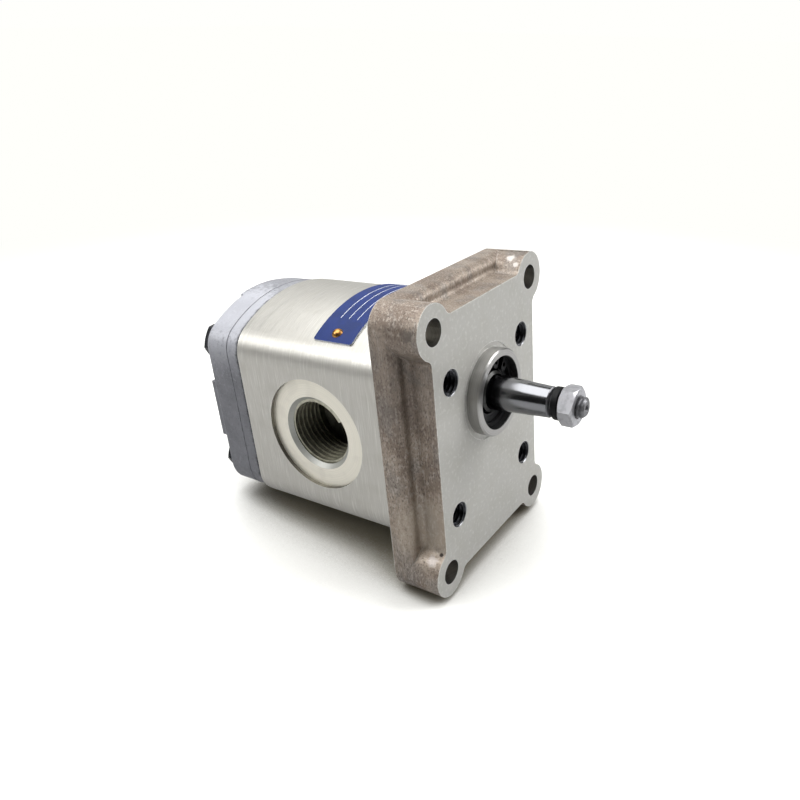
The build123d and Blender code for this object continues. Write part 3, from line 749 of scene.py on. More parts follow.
class GeometryTree:
    """A Geometry Nodes tree with named inputs, run once and kept as a plain mesh."""

    title = "geometry"
    sizes: tuple[str, ...] = ()

    def __init__(self) -> None:
        """Builds the tree: inputs, shape, Realize Instances and Set Material."""
        self.tree = bpy.data.node_groups.new(self.title, "GeometryNodeTree")
        face = self.tree.interface
        face.new_socket("Geometry", in_out="INPUT", socket_type="NodeSocketGeometry")
        for size in self.sizes:
            face.new_socket(size, in_out="INPUT", socket_type="NodeSocketFloat")
        face.new_socket("Material", in_out="INPUT", socket_type="NodeSocketMaterial")
        face.new_socket("Geometry", in_out="OUTPUT", socket_type="NodeSocketGeometry")
        self.given = add_node(self.tree, "NodeGroupInput").outputs
        shape = self.build()
        solid = add_node(self.tree, "GeometryNodeRealizeInstances", {}, {0: shape}).outputs[0]
        named = add_node(self.tree, "GeometryNodeSetMaterial", {},
                         {"Geometry": solid, "Material": self.given["Material"]}).outputs[0]
        add_node(self.tree, "NodeGroupOutput", {}, {0: named})

    def build(self) -> bpy.types.NodeSocket:
        """Adds the nodes that make the shape and returns its geometry socket."""
        raise NotImplementedError

    def math(self, operation: str, *values: object) -> bpy.types.NodeSocket:
        """Adds a Math node and returns its output."""
        settings = {"operation": operation}
        return add_node(self.tree, "ShaderNodeMath", settings, dict(enumerate(values))).outputs[0]

    def sweep(self, path: bpy.types.NodeSocket, profile: bpy.types.NodeSocket) -> bpy.types.NodeSocket:
        """Sweeps a closed profile along a path and caps its ends.

        Args:
            path: curve geometry.
            profile: curve geometry of the section.

        Returns:
            The mesh.
        """
        return add_node(self.tree, "GeometryNodeCurveToMesh", {},
                        {"Curve": path, "Profile Curve": profile, "Fill Caps": True}).outputs[0]

    def make(self, name: str, finish: Finish, place: Matrix, seed: bpy.types.Mesh | None = None,
             smooth: bool = True, **values: float) -> bpy.types.Object:
        """Runs the tree and keeps its result as a plain mesh.

        Args:
            name: the piece's name.
            finish: the finish of the result.
            place: where the result goes, written into its mesh.
            seed: a mesh that the tree starts from.
            smooth: whether faces are shaded smooth.
            values: a number for each named input, with _ for a space.

        Returns:
            The object, linked to the scene, at the origin.
        """
        carrier = bpy.data.objects.new(name + "_carrier", seed or bpy.data.meshes.new(name + "_seed"))
        bpy.context.scene.collection.objects.link(carrier)
        modifier = carrier.modifiers.new("tree", "NODES")
        modifier.node_group = self.tree
        for item in self.tree.interface.items_tree:
            if item.in_out == "INPUT" and item.socket_type == "NodeSocketFloat":
                modifier[item.identifier] = float(values[item.name.lower().replace(" ", "_")])
            if item.in_out == "INPUT" and item.socket_type == "NodeSocketMaterial":
                modifier[item.identifier] = finish.material()
        bpy.context.view_layer.update()
        graph = bpy.context.evaluated_depsgraph_get()
        mesh = bpy.data.meshes.new_from_object(carrier.evaluated_get(graph), depsgraph=graph)
        carrier.modifiers.clear()
        bpy.data.objects.remove(carrier)
        mesh.transform(place)
        shape = bmesh.new()
        shape.from_mesh(mesh)
        bpy.data.meshes.remove(mesh)
        return mesh_object(name, shape, finish, smooth)


class ThreadRidges(GeometryTree):
    """Screw thread ridges: a trapezium swept along a helix round Z, run out at both ends."""

    title = "thread_ridges"
    sizes = ("Radius", "Pitch", "Turns", "Height", "Root width", "Crest width", "Points per turn")
    run_out = 0.25  # turns over which the ridge fades at each end
    least = 0.02  # share of its size that it keeps at the very end

    def build(self) -> bpy.types.NodeSocket:
        """Sweeps the ridge. A negative height turns it inwards, for a female thread.

        Returns:
            The ridge's mesh.
        """
        rise = self.math("MULTIPLY", self.given["Pitch"], self.given["Turns"])
        helix = add_node(self.tree, "GeometryNodeCurveSpiral", {},
                         {"Resolution": self.given["Points per turn"], "Rotations": self.given["Turns"],
                          "Start Radius": self.given["Radius"], "End Radius": self.given["Radius"],
                          "Height": rise})
        along = add_node(self.tree, "GeometryNodeSplineParameter").outputs["Factor"]
        left = self.math("MULTIPLY", along, self.given["Turns"])
        right = self.math("SUBTRACT", self.given["Turns"], left)
        near = self.math("MULTIPLY", self.math("MINIMUM", left, right), 1 / self.run_out)
        fade = self.math("MAXIMUM", self.math("MINIMUM", near, 1.0), self.least)
        tapered = add_node(self.tree, "GeometryNodeSetCurveRadius", {},
                           {"Curve": helix.outputs[0], "Radius": fade}).outputs[0]
        upright = add_node(self.tree, "GeometryNodeSetCurveNormal", {"mode": "Z_UP"},
                           {"Curve": tapered}).outputs[0]
        ridge = add_node(self.tree, "GeometryNodeCurvePrimitiveQuadrilateral", {"mode": "TRAPEZOID"},
                         {"Bottom Width": self.given["Root width"], "Top Width": self.given["Crest width"],
                          "Offset": 0.0, "Height": self.given["Height"]}).outputs[0]
        half = self.math("MULTIPLY", self.given["Height"], 0.5)
        lift = add_node(self.tree, "ShaderNodeCombineXYZ", {}, {"Y": half}).outputs[0]
        raised = add_node(self.tree, "GeometryNodeTransform", {}, {"Geometry": ridge, "Translation": lift})
        return self.sweep(upright, raised.outputs[0])


class CornerPattern(GeometryTree):
    """The seed mesh repeated at the four corners of a rectangle in the YZ plane."""

    title = "corner_pattern"
    sizes = ("Half Y", "Half Z", "Centre Z")

    def build(self) -> bpy.types.NodeSocket:
        """Puts an instance of the seed on each corner of a grid.

        Returns:
            The four instances.
        """
        grid = add_node(self.tree, "GeometryNodeMeshGrid", {},
                        {"Size X": self.math("MULTIPLY", self.given["Half Y"], 2.0),
                         "Size Y": self.math("MULTIPLY", self.given["Half Z"], 2.0),
                         "Vertices X": 2, "Vertices Y": 2}).outputs[0]
        centre = add_node(self.tree, "ShaderNodeCombineXYZ", {}, {"Z": self.given["Centre Z"]}).outputs[0]
        upright = add_node(self.tree, "GeometryNodeTransform", {},
                           {"Geometry": grid, "Translation": centre,
                            "Rotation": (math.radians(90), 0.0, math.radians(90))}).outputs[0]
        return add_node(self.tree, "GeometryNodeInstanceOnPoints", {},
                        {"Points": upright, "Instance": self.given["Geometry"]}).outputs[0]


class PathBead(GeometryTree):
    """A low bead along the seed mesh's edges, such as a parting line or an etched rule."""

    title = "path_bead"
    sizes = ("Width", "Height")

    def build(self) -> bpy.types.NodeSocket:
        """Sweeps a small rectangle along the edges.

        Returns:
            The bead's mesh.
        """
        path = add_node(self.tree, "GeometryNodeMeshToCurve", {}, {0: self.given["Geometry"]}).outputs[0]
        profile = add_node(self.tree, "GeometryNodeCurvePrimitiveQuadrilateral", {"mode": "RECTANGLE"},
                           {"Width": self.given["Width"], "Height": self.given["Height"]}).outputs[0]
        return self.sweep(path, profile)


class GarterCoil(GeometryTree):
    """A coil spring bent into a ring round Z."""

    title = "garter_coil"
    sizes = ("Ring radius", "Coil radius", "Wire radius", "Coils", "Points")
    wire_sides = 6

    def build(self) -> bpy.types.NodeSocket:
        """Winds a ring's points round the ring and sweeps the wire along them.

        Returns:
            The coil's mesh.
        """
        ring = add_node(self.tree, "GeometryNodeCurvePrimitiveCircle", {},
                        {"Resolution": self.given["Points"], "Radius": self.given["Ring radius"]}).outputs[0]
        index = add_node(self.tree, "GeometryNodeInputIndex").outputs[0]
        step = self.math("DIVIDE", self.math("MULTIPLY", self.given["Coils"], TAU), self.given["Points"])
        angle = self.math("MULTIPLY", index, step)
        place = add_node(self.tree, "GeometryNodeInputPosition").outputs[0]
        outward = add_node(self.tree, "ShaderNodeVectorMath", {"operation": "NORMALIZE"},
                           {0: place}).outputs[0]
        reach = self.math("MULTIPLY", self.math("COSINE", angle), self.given["Coil radius"])
        rise = self.math("MULTIPLY", self.math("SINE", angle), self.given["Coil radius"])
        side = add_node(self.tree, "ShaderNodeVectorMath", {"operation": "SCALE"},
                        {0: outward, "Scale": reach}).outputs[0]
        lift = add_node(self.tree, "ShaderNodeCombineXYZ", {}, {"Z": rise}).outputs[0]
        offset = add_node(self.tree, "ShaderNodeVectorMath", {"operation": "ADD"},
                          {0: side, 1: lift}).outputs[0]
        wound = add_node(self.tree, "GeometryNodeSetPosition", {},
                         {"Geometry": ring, "Offset": offset}).outputs[0]
        wire = add_node(self.tree, "GeometryNodeCurvePrimitiveCircle", {},
                        {"Resolution": self.wire_sides, "Radius": self.given["Wire radius"]}).outputs[0]
        return self.sweep(wound, wire)


@dataclass(frozen=True)
class ThreadForm:
    """Section of a thread's ridge, in millimetres and as shares of its pitch."""

    pitch: float
    height: float  # negative for a female thread
    root_share: float
    crest_share: float
    points: int

    def sizes(self, radius: float, turns: float) -> dict[str, float]:
        """Inputs of the ThreadRidges tree.

        Args:
            radius: radius of the ridge's foot in millimetres.
            turns: number of turns.

        Returns:
            A value for each named input, with lengths in metres.
        """
        return {"radius": radius * MM, "pitch": self.pitch * MM, "turns": turns,
                "height": self.height * MM, "root_width": self.root_share * self.pitch * MM,
                "crest_width": self.crest_share * self.pitch * MM, "points_per_turn": self.points}


@dataclass
class Workshop:
    """The geometry trees, built once and shared by the sub-assemblies."""

    ridges: ThreadRidges = field(default_factory=ThreadRidges)
    corners: CornerPattern = field(default_factory=CornerPattern)
    bead: PathBead = field(default_factory=PathBead)
    coil: GarterCoil = field(default_factory=GarterCoil)


def along_axis(axis: Axis, sign: float, origin: tuple[float, float, float]) -> Matrix:
    """Placement that turns a shape built round Z onto an axis.

    Args:
        axis: the axis that Z turns onto.
        sign: 1 or -1, the way that Z points.
        origin: where the shape's own origin goes, in millimetres.

    Returns:
        The placement, in metres.
    """
    turn = (Vector(axis.value) * sign).to_track_quat("Z", "X").to_matrix().to_4x4()
    return Matrix.Translation(Vector(origin) * MM) @ turn


# ---------------------------------------------------------------- sub-assemblies


@dataclass
class BodyOutline:
    """Cross-section shared by the body and the rear cover."""

    bolt_y: float = 20.0
    bolt_z: float = 20.2
    corner_r: float = 9.5
    crown_r: float = 47.18
    crown_drop: float = 11.74
    centre_z: float = -9.8
    corner_steps: int = 8
    crown_steps: int = 12

    def points(self, inset: float) -> list[tuple[float, float]]:
        """Points of the outline, once round.

        Args:
            inset: how far inside the body's own outline it lies.

        Returns:
            (y, z) pairs in millimetres.
        """
        corner, crown = self.corner_r - inset, self.crown_r - inset
        lean = math.atan2(self.bolt_z + self.crown_drop, self.bolt_y)
        quarter = []
        for step in range(self.corner_steps + 1):
            angle = lean * step / self.corner_steps
            quarter.append((self.bolt_y + corner * math.cos(angle), self.bolt_z + corner * math.sin(angle)))
        for step in range(1, self.crown_steps + 1):
            angle = lean + (math.pi / 2 - lean) * step / self.crown_steps
            quarter.append((crown * math.cos(angle), crown * math.sin(angle) - self.crown_drop))
        upper = quarter + [(-y, z) for y, z in reversed(quarter[:-1])]
        ring = upper + [(-y, -z) for y, z in upper]
        return [(y, z + self.centre_z) for y, z in ring]


@dataclass
class MountingFlange:
    """Cast flange with its milled face, turned pilot and four tapped holes."""

    workshop: Workshop
    outline: BodyOutline
    mount_y: float = 26.2
    mount_z: float = 36.0
    mount_reach: float = 3.62
    tapped_reach: float = 5.0
    pocket_reach: float = 10.6
    relief_r: float = 14.3
    back_reach: float = -14.58
    thread_foot_r: float = 3.59
    thread_from_x: float = -6.2
    thread_turns: float = 4.6
    thread: ThreadForm = ThreadForm(1.25, -0.55, 0.85, 0.2, 40)

    def near_hole(self, middle: Vector, y: float, z: float, radius: float) -> bool:
        """Tells whether a point lies within radius of any of four hole axes at +-y and +-z."""
        return math.hypot(abs(middle.y) - y, abs(middle.z - self.outline.centre_z) - z) < radius

    def build(self) -> None:
        """Dresses the casting and adds the threads of its tapped holes."""
        outline = self.outline
        dress("front_flange", CAST_SKIN, [
            FaceRule(GREASE_AND_SHADE_METAL, lambda m, n: math.hypot(m.y, m.z) < self.pocket_reach),
            FaceRule(TURNED_PILOT, lambda m, n: m.x > 0.02),
            FaceRule(DRILLED_HOLE,
                     lambda m, n: self.near_hole(m, self.mount_y, self.mount_z, self.mount_reach)),
            FaceRule(TAPPED_HOLE,
                     lambda m, n: self.near_hole(m, outline.bolt_y, outline.bolt_z, self.tapped_reach)
                     and abs(n.x) < 0.95),
            FaceRule(MILLED_FACE, lambda m, n: m.x > -0.05 or m.x < self.back_reach
                     or math.hypot(m.y, m.z) < self.relief_r),
        ])
        ridge = self.workshop.ridges.make(
            "tapped_thread_seed", TAPPED_HOLE, along_axis(Axis.X, 1, (self.thread_from_x, 0.0, 0.0)),
            **self.thread.sizes(self.thread_foot_r, self.thread_turns))
        threads = self.workshop.corners.make(
            "flange_tapped_threads", TAPPED_HOLE, Matrix.Identity(4), ridge.data, False,
            half_y=outline.bolt_y * MM, half_z=outline.bolt_z * MM, centre_z=outline.centre_z * MM)
        bpy.data.objects.remove(ridge)
        keep(threads, Body.HOUSING)


@dataclass(frozen=True)
class PortThread:
    """A female pipe thread in the body, and the seat round it."""

    name: str
    side: int
    root_r: float
    seat_finish: Finish
    seat_reach: float
    form: ThreadForm


@dataclass
class GearHousing:
    """Extruded body with its two spotfaced, threaded ports."""

    workshop: Workshop
    outline: BodyOutline
    gear_x: float = -42.5
    wall_y: float = 29.5
    spotface_depth: float = 1.2
    countersink_depth: float = 1.2
    thread_length: float = 13.0
    thread_overlap: float = 0.05  # how far a ridge's foot reaches into the wall
    rule_gap: float = 0.1
    skin: float = 0.005
    ports: tuple[PortThread, ...] = (
        PortThread("suction_port_thread", -1, 10.48, SPOTFACED_SUCTION, 17.7,
                   ThreadForm(1.814, -0.64 * 1.814, 0.78, 0.14, 96)),
        PortThread("pressure_port_thread", 1, 8.33, SPOTFACED_PRESSURE, 14.6,
                   ThreadForm(1.337, -0.64 * 1.337, 0.78, 0.14, 96)))

    def from_port(self, middle: Vector) -> float:
        """Distance of a point from the axis that both ports share."""
        return math.hypot(middle.x - self.gear_x, middle.z - self.outline.centre_z)

    def build(self) -> None:
        """Dresses the body and cuts both threads."""
        floor_y = self.wall_y - self.spotface_depth
        seat_y = floor_y - self.countersink_depth
        widest = max(port.seat_reach for port in self.ports)
        bore_reach = max(port.root_r for port in self.ports) + 0.5
        dress("pump_body", BELTED_BODY, [
            FaceRule(SPOTFACE_WALL, lambda m, n: abs(n.y) < 0.3 and floor_y < abs(m.y) < self.wall_y
                     and self.from_port(m) < widest),
            FaceRule(PORT_CONE, lambda m, n: 0.3 < abs(n.y) < 0.95 and seat_y < abs(m.y) < floor_y
                     and self.from_port(m) < widest),
            *(FaceRule(port.seat_finish, self.seat_test(port, seat_y)) for port in self.ports),
            FaceRule(OILED_BORE, lambda m, n: self.inside(m)
                     and (abs(n.x) < 0.9 or self.from_port(m) < bore_reach)),
            FaceRule(MILLED_FACE, lambda m, n: abs(n.x) > 0.9),
        ])
        for port in self.ports:
            keep(self.thread(port, seat_y), Body.HOUSING)

    def seat_test(self, port: PortThread, seat_y: float) -> Callable[[Vector, Vector], bool]:
        """Makes the test for the faces of one port's seat.

        Args:
            port: which port.
            seat_y: distance of the cone's foot from the shaft axis.

        Returns:
            A test of a face's middle and normal.
        """
        low, high = seat_y - self.rule_gap, self.wall_y - self.skin
        return lambda m, n: low < port.side * m.y < high and self.from_port(m) < port.seat_reach

    def inside(self, middle: Vector) -> bool:
        """Tells whether a point lies clearly inside the body's outline.

        Args:
            middle: the point in millimetres.

        Returns:
            True inside.
        """
        margin = 0.4
        z = middle.z - self.outline.centre_z
        crown = math.hypot(middle.y, abs(z) + self.outline.crown_drop)
        corner = math.hypot(abs(middle.y) - self.outline.bolt_y, abs(z) - self.outline.bolt_z)
        in_corner = abs(middle.y) > self.outline.bolt_y and abs(z) > self.outline.bolt_z
        if in_corner and corner > self.outline.corner_r - margin:
            return False
        return abs(middle.y) < self.wall_y - margin / 2 and crown < self.outline.crown_r - margin

    def thread(self, port: PortThread, seat_y: float) -> bpy.types.Object:
        """Winds one port's thread ridges.

        Args:
            port: which port.
            seat_y: distance of the thread's first turn from the shaft axis.

        Returns:
            The ridges.
        """
        start = (self.gear_x, port.side * (seat_y - self.thread_length), self.outline.centre_z)
        turns = self.thread_length / port.form.pitch
        return self.workshop.ridges.make(
            port.name, THREAD_RIDGE, along_axis(Axis.Y, port.side, start), smooth=False,
            **port.form.sizes(port.root_r + self.thread_overlap, turns))


@dataclass
class RearCover:
    """Die-cast cover with its parting line and the four long bolts that clamp the pump."""

    workshop: Workshop
    outline: BodyOutline
    seat_x: float = -85.0
    inset: float = 0.75
    parting_x: float = -75.6
    crease_width: float = 0.24
    head_flats: float = 12.0
    head_height: float = 4.2
    washer_height: float = 0.35
    dish_depth: float = 0.25
    shank_r: float = 3.4
    tip_x: float = -6.5
    tip_chamfer: float = 0.6

    def build(self) -> None:
        """Dresses the cover, lays the parting line and fits the bolts."""
        dress("rear_cover", DIE_CAST_COVER)
        seed = bpy.data.meshes.new("parting_path")
        ring = [(self.parting_x * MM, y * MM, z * MM) for y, z in self.outline.points(self.inset)]
        seed.from_pydata(ring, [(i, (i + 1) % len(ring)) for i in range(len(ring))], [])
        line = self.workshop.bead.make("rear_cover_parting_line", MOULD_CREASE, Matrix.Identity(4), seed,
                                       width=self.crease_width * MM, height=self.crease_width * MM)
        keep(line, Body.HOUSING)
        bolt = self.bolt()
        bolts = self.workshop.corners.make(
            "clamp_bolts", BLACK_BOLT, Matrix.Identity(4), bolt.data, False,
            half_y=self.outline.bolt_y * MM, half_z=self.outline.bolt_z * MM,
            centre_z=self.outline.centre_z * MM)
        bpy.data.objects.remove(bolt)
        keep(bolts, Body.HOUSING, ["body_bolts"])

    def bolt(self) -> bpy.types.Object:
        """Builds one bolt along X: a chamfered hexagon head, a washer face and a plain shank.

        Returns:
            The bolt, on the X axis.
        """
        flat_r = self.head_flats / 2
        sides, steps = 6, 12
        count = sides * steps
        top_x = self.seat_x - self.head_height
        washer_x = self.seat_x - self.washer_height
        dish_r, rim_r, crown_r, washer_r = (share * flat_r for share in (0.55, 0.62, 0.94, 0.96))
        slope = math.tan(math.radians(30))
        rows: list[list[tuple[float, float, float]]] = []
        stations = [("round", top_x, 0.0), ("round", top_x + self.dish_depth, dish_r),
                    ("round", top_x, rim_r), ("round", top_x, crown_r), ("chamfer", top_x, 0.0),
                    ("hex", washer_x, 0.0), ("round", washer_x, washer_r),
                    ("round", self.seat_x, washer_r), ("round", self.seat_x, self.shank_r),
                    ("round", self.tip_x - self.tip_chamfer, self.shank_r),
                    ("round", self.tip_x, self.shank_r - self.tip_chamfer), ("round", self.tip_x, 0.0)]
        for kind, x, radius in stations:
            row = []
            for i in range(count):
                angle = TAU * i / count
                lean = (angle + math.pi / sides) % (TAU / sides) - math.pi / sides
                hexagon = flat_r / math.cos(math.pi / sides - abs(lean))
                reach = radius if kind == "round" else hexagon
                station = x + (hexagon - crown_r) * slope if kind == "chamfer" else x
                row.append((station, reach * math.cos(angle), reach * math.sin(angle)))
            rows.append(row)
        shape = bmesh.new()
        rings = [[shape.verts.new(Vector(p) * MM) for p in row] for row in rows]
        for lower, upper in zip(rings, rings[1:]):
            for i in range(count):
                j = (i + 1) % count
                shape.faces.new((lower[i], lower[j], upper[j], upper[i]))
        bmesh.ops.remove_doubles(shape, verts=shape.verts, dist=1e-7)
        bmesh.ops.dissolve_degenerate(shape, edges=shape.edges, dist=1e-7)
        return mesh_object("bolt_seed", shape, BLACK_BOLT, False)


@dataclass
class ShaftEnd:
    """Drive shaft with its thread, spring washer, nut and key, and the idler."""

    workshop: Workshop
    thread_foot_r: float = 2.55
    thread: ThreadForm = ThreadForm(1.0, 0.45, 0.86, 0.2, 48)
    start_x: float = 25.2
    end_x: float = 28.45
    tip_from_x: float = 18.98

    def build(self) -> None:
        """Dresses the turning parts and winds the tip's thread."""
        dress("drive_gear_shaft", GROUND_STEEL, [
            FaceRule(DARK_TIP, lambda m, n: m.x > self.tip_from_x),
            FaceRule(GREASE_AND_SHADE_METAL, lambda m, n: m.x > 0.0 and n.x > 0.5)])
        dress("idler_gear_shaft", GROUND_STEEL)
        dress("woodruff_key", BRIGHT_SPRING)
        dress("spring_washer", BLACK_SPRING)
        dress("shaft_nut", DULL_ZINC)
        turns = (self.end_x - self.start_x) / self.thread.pitch
        thread = self.workshop.ridges.make(
            "shaft_tip_thread", DARK_TIP, along_axis(Axis.X, 1, (self.start_x, 0.0, 0.0)), smooth=False,
            **self.thread.sizes(self.thread_foot_r, turns))
        keep(thread, Body.DRIVE)


@dataclass
class SealPocket:
    """Shaft seal, its garter spring and the retaining ring in the pilot."""

    workshop: Workshop
    spring_x: float = -4.1
    ring_r: float = 8.05
    coil_r: float = 0.42
    wire_r: float = 0.11
    coils: int = 110
    points_per_coil: int = 10

    def build(self) -> None:
        """Dresses the seal and winds the garter spring."""
        dress("shaft_seal_case", NITRILE)
        dress("shaft_seal_lip", NITRILE)
        dress("retaining_ring", BLACK_SPRING)
        spring = self.workshop.coil.make(
            "garter_spring_coil", BRIGHT_SPRING, along_axis(Axis.X, 1, (self.spring_x, 0.0, 0.0)),
            ring_radius=self.ring_r * MM, coil_radius=self.coil_r * MM, wire_radius=self.wire_r * MM,
            coils=self.coils, points=self.coils * self.points_per_coil)
        keep(spring, Body.HOUSING, ["shaft_seal_spring"])


@dataclass
class DataPlate:
    """Blue plate on the crown, with bare edges, plain etched rules and two brass rivets."""

    workshop: Workshop
    outline: BodyOutline
    inner_r: float = 47.19
    thickness: float = 0.5
    rule_stations: tuple[float, ...] = (-37.4, -34.4, -31.4)
    rule_reach: float = 21.0
    rule_width: float = 0.14
    rule_steps: int = 24

    def build(self) -> None:
        """Dresses the plate and rivets and lays the rules."""
        dress("name_plate", BLUE_ANODISED, [FaceRule(BARE_SHEET, self.is_edge)])
        dress("name_plate_rivets", BRASS)
        seed = bpy.data.meshes.new("rule_paths")
        points, edges = [], []
        top_r = self.inner_r + self.thickness
        for station in self.rule_stations:
            for step in range(self.rule_steps + 1):
                angle = math.radians(self.rule_reach * (2 * step / self.rule_steps - 1))
                if step:
                    edges.append((len(points) - 1, len(points)))
                z = top_r * math.cos(angle) - self.outline.crown_drop + self.outline.centre_z
                points.append((station * MM, top_r * math.sin(angle) * MM, z * MM))
        seed.from_pydata(points, edges, [])
        rules = self.workshop.bead.make("name_plate_rules", BARE_SHEET, Matrix.Identity(4), seed,
                                        width=self.rule_width * MM, height=self.rule_width * MM)
        keep(rules, Body.HOUSING)

    def is_edge(self, middle: Vector, normal: Vector) -> bool:
        """Tells a cut edge of the plate from its two broad faces."""
        outward = Vector((0.0, middle.y, middle.z - self.outline.centre_z + self.outline.crown_drop))
        return abs(outward.normalized().dot(normal)) < 0.7


@dataclass
class InnerParts:
    """Blocks, bushes, seals and dowels that the housing encloses."""

    finishes: dict[str, Finish] = field(default_factory=lambda: {
        "bearing_block": BEARING_ALLOY, "backup_strip": WHITE_POLYAMIDE,
        "pressure_seal": NITRILE, "body_seal": NITRILE, "dowels": GROUND_STEEL})

    def build(self) -> None:
        """Dresses each inner node."""
        for end in ("front", "rear"):
            for kind, finish in self.finishes.items():
                dress(f"{end}_{kind}", finish)
            for shaft in ("drive", "idler"):
                dress(f"{shaft}_{end}_bush", BRONZE_BUSH)


# ---------------------------------------------------------------- studio


@dataclass(frozen=True)
class Lamp:
    """A soft area light that points at a target."""

    name: str
    place: tuple[float, float, float]
    target: tuple[float, float, float]
    size: tuple[float, float]
    power: float
    colour: str = "ffffff"

    def build(self) -> bpy.types.Object:
        """Adds the light to the scene.

        Returns:
            The light's object.
        """
        data = bpy.data.lights.new(self.name, "AREA")
        data.shape = "RECTANGLE"
        data.size, data.size_y = (s * MM for s in self.size)
        data.energy = self.power
        data.color = linear(self.colour)[:3]
        made = bpy.data.objects.new(self.name, data)
        made.location = Vector(self.place) * MM
        made.rotation_euler = (Vector(self.target) - Vector(self.place)).to_track_quat("-Z", "Y").to_euler()
        made.visible_camera = False
        bpy.context.scene.collection.objects.link(made)
        return made


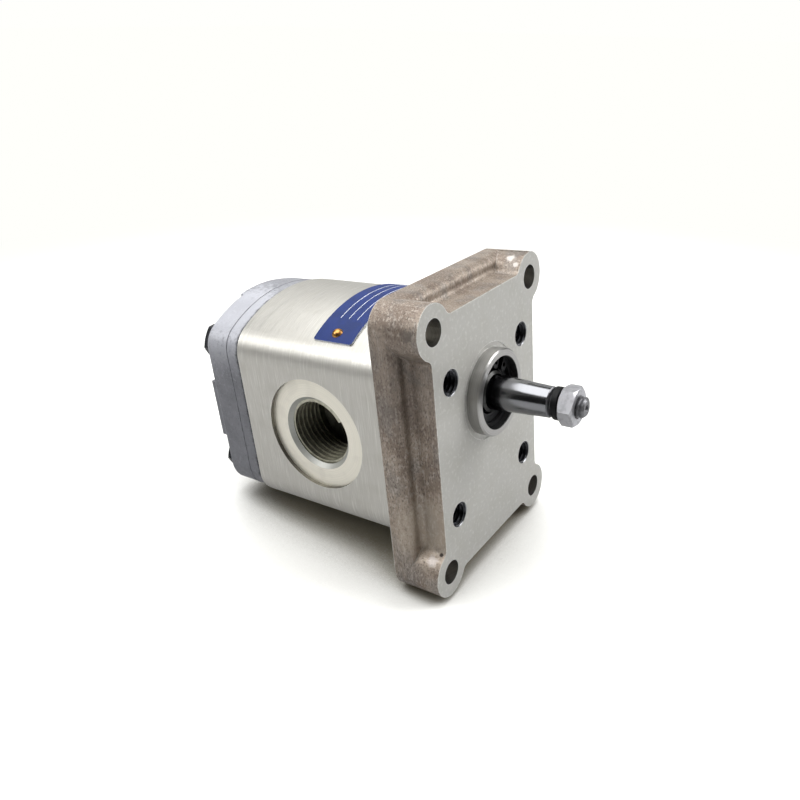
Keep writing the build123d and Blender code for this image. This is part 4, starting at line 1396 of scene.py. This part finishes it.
@dataclass
class Studio:
    """White floor with a painted contact shadow, soft lights, a black flag and the camera."""

    floor_half: float = 6000.0
    floor_gap: float = 0.02
    flag_y: float = -700.0
    flag_x: tuple[float, float] = (-1500.0, 900.0)
    flag_z: tuple[float, float] = (-20.0, 600.0)
    lens: float = 32.04
    sensor: float = 36.0
    camera_at: tuple[float, float, float] = (92.466, -162.135, 83.303)
    camera_forward: tuple[float, float, float] = (-0.5564, 0.7220, -0.4112)
    camera_up: tuple[float, float, float] = (-0.1702, 0.3853, 0.9069)
    world_strength: float = 0.13
    floor_dim: float = 0.54
    # The shade_ numbers set the painted contact shadow on the floor.
    shade_reach: float = 0.09
    shade_low: float = 0.25
    shade_high: float = 0.64
    shade_colour: str = "7d7768"
    fade_start: float = 0.16
    fade_end: float = 0.45
    lamps: tuple[Lamp, ...] = (
        Lamp("softbox_top", (-130.0, -20.0, 850.0), (-40.0, 0.0, 0.0), (1050.0, 950.0), 12.0),
        Lamp("softbox_back", (-520.0, 760.0, 420.0), (-40.0, 0.0, 0.0), (900.0, 600.0), 1.1),
        Lamp("softbox_key", (560.0, 460.0, 380.0), (-20.0, 0.0, -10.0), (500.0, 500.0), 5.4),
        Lamp("softbox_left", (-600.0, -540.0, 560.0), (-40.0, 0.0, 0.0), (520.0, 420.0), 3.2),
    )

    def floor_tilt(self) -> tuple[Vector, Vector]:
        """Finds the plane that the pump rests on: the flange's rear foot and the cover's lowest edge.

        Returns:
            A point of the plane in metres, and its upward normal.
        """
        flange_low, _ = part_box("front_flange")
        foot = Vector((flange_low.x, 0.0, flange_low.z))
        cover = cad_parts["rear_cover"]
        places = (cover.matrix_world @ vertex.co for vertex in cover.data.vertices)
        slope = -min(math.atan2(place.z - foot.z, foot.x - place.x) for place in places)
        return foot, Vector((-math.sin(slope), 0.0, math.cos(slope)))

    def card(self, name: str, corners: Sequence[Vector], finish: Finish) -> bpy.types.Object:
        """Adds a flat card that belongs to the studio.

        Args:
            name: the card's name.
            corners: its four corners in metres.
            finish: its finish.

        Returns:
            The card.
        """
        mesh = bpy.data.meshes.new(name)
        mesh.from_pydata([tuple(c) for c in corners], [], [(0, 1, 2, 3)])
        mesh.materials.append(finish.material())
        made = bpy.data.objects.new(name, mesh)
        bpy.context.scene.collection.objects.link(made)
        return made

    def build(self) -> None:
        """Lays the floor, hangs the lights and the flag, and sets the world and the camera."""
        foot, normal = self.floor_tilt()
        foot = foot - normal * self.floor_gap * MM
        side = Vector((0.0, 1.0, 0.0))
        ahead = side.cross(normal)
        half = self.floor_half * MM
        floor = self.card("floor", [foot - ahead * half - side * half, foot + ahead * half - side * half,
                                    foot + ahead * half + side * half, foot - ahead * half + side * half],
                          WHITE_CARD)
        self.light_floor(floor.data.materials[0])
        (left, right), (low, high) = self.flag_x, self.flag_z
        ring = ((left, low), (right, low), (right, high), (left, high))
        flag = self.card("black_flag", [Vector((x, self.flag_y, z)) * MM for x, z in ring], BLACK_CLOTH)
        flag.visible_camera = False
        flag.visible_shadow = False
        for lamp in self.lamps:
            lamp.build()
        self.world()
        self.camera()

    def light_floor(self, card: bpy.types.Material) -> None:
        """Makes the floor white where it is seen, with a painted contact shadow round the pump, dimmer where
        it only lights the pump, and endless.

        Args:
            card: the floor's material.
        """
        tree = card.node_tree
        shader = tree.nodes["Principled BSDF"]
        # Painted contact shadow: where the pump hides the sky, the floor's colour turns to a warm grey.
        open_sky = add_node(tree, "ShaderNodeAmbientOcclusion", {"samples": 8},
                            {"Distance": self.shade_reach}).outputs["AO"]
        shade = add_node(tree, "ShaderNodeMapRange", {"interpolation_type": "SMOOTHSTEP"},
                         {"Value": open_sky, "From Min": self.shade_low,
                          "From Max": self.shade_high}).outputs[0]
        painted_shadow_colour = add_node(tree, "ShaderNodeMix", {"data_type": "RGBA"},
                         {0: shade, 6: linear(self.shade_colour), 7: linear(WHITE_CARD.colour)})
        feed(shader.inputs["Base Color"], painted_shadow_colour.outputs[2])
        place = add_node(tree, "ShaderNodeTexCoord").outputs["Object"]
        away = add_node(tree, "ShaderNodeVectorMath", {"operation": "LENGTH"}, {0: place}).outputs["Value"]
        far = add_node(tree, "ShaderNodeMapRange", {"interpolation_type": "SMOOTHSTEP"},
                       {"Value": away, "From Min": self.fade_start, "From Max": self.fade_end}).outputs[0]
        glow = add_node(tree, "ShaderNodeEmission", {}, {"Color": linear("fffffb"), "Strength": 1.0})
        seen = add_node(tree, "ShaderNodeMixShader", {}, {0: far, 1: shader.outputs[0], 2: glow.outputs[0]})
        dim = add_node(tree, "ShaderNodeBsdfDiffuse", {}, {"Color": (self.floor_dim,) * 3 + (1.0,)})
        sight = add_node(tree, "ShaderNodeLightPath").outputs["Is Camera Ray"]
        both = add_node(tree, "ShaderNodeMixShader", {}, {0: sight, 1: dim.outputs[0], 2: seen.outputs[0]})
        below = add_node(tree, "ShaderNodeNewGeometry").outputs["Backfacing"]
        clear = add_node(tree, "ShaderNodeBsdfTransparent")
        shown = add_node(tree, "ShaderNodeMixShader", {}, {0: below, 1: both.outputs[0], 2: clear.outputs[0]})
        feed(tree.nodes["Material Output"].inputs["Surface"], shown.outputs[0])

    def world(self) -> None:
        """White to the camera, softer as a light."""
        world = bpy.data.worlds.new("white_studio")
        world.use_nodes = True
        tree = world.node_tree
        sight = add_node(tree, "ShaderNodeLightPath").outputs["Is Camera Ray"]
        strength = add_node(tree, "ShaderNodeMix", {"data_type": "FLOAT"},
                            {0: sight, 2: self.world_strength, 3: 1.0})
        back = tree.nodes["Background"]
        feed(back.inputs["Color"], linear("fffffc"))
        feed(back.inputs["Strength"], strength.outputs[0])
        bpy.context.scene.world = world
        view = bpy.context.scene.view_settings
        view.view_transform = "Standard"
        view.look = "None"

    def camera(self) -> None:
        """Stands the camera where it shows the port side and the shaft end."""
        data = bpy.data.cameras.new("camera")
        data.sensor_width = self.sensor
        data.lens = self.lens
        data.clip_start, data.clip_end = 0.01, 50.0
        forward, up = Vector(self.camera_forward).normalized(), Vector(self.camera_up)
        right = forward.cross(up).normalized()
        up = right.cross(forward)
        turn = Matrix((right, up, -forward)).transposed().to_4x4()
        made = bpy.data.objects.new("camera", data)
        made.matrix_world = Matrix.Translation(Vector(self.camera_at) * MM) @ turn
        bpy.context.scene.collection.objects.link(made)
        bpy.context.scene.camera = made


def main() -> None:
    logging.basicConfig(level=logging.INFO, format="%(name)s %(message)s")
    workshop = Workshop()
    outline = BodyOutline()
    for part in (MountingFlange(workshop, outline), GearHousing(workshop, outline),
                 RearCover(workshop, outline), ShaftEnd(workshop), SealPocket(workshop),
                 DataPlate(workshop, outline), InnerParts(), Studio()):
        part.build()
        LOG.info("%s done", type(part).__name__)


if __name__ == "__main__":
    main()
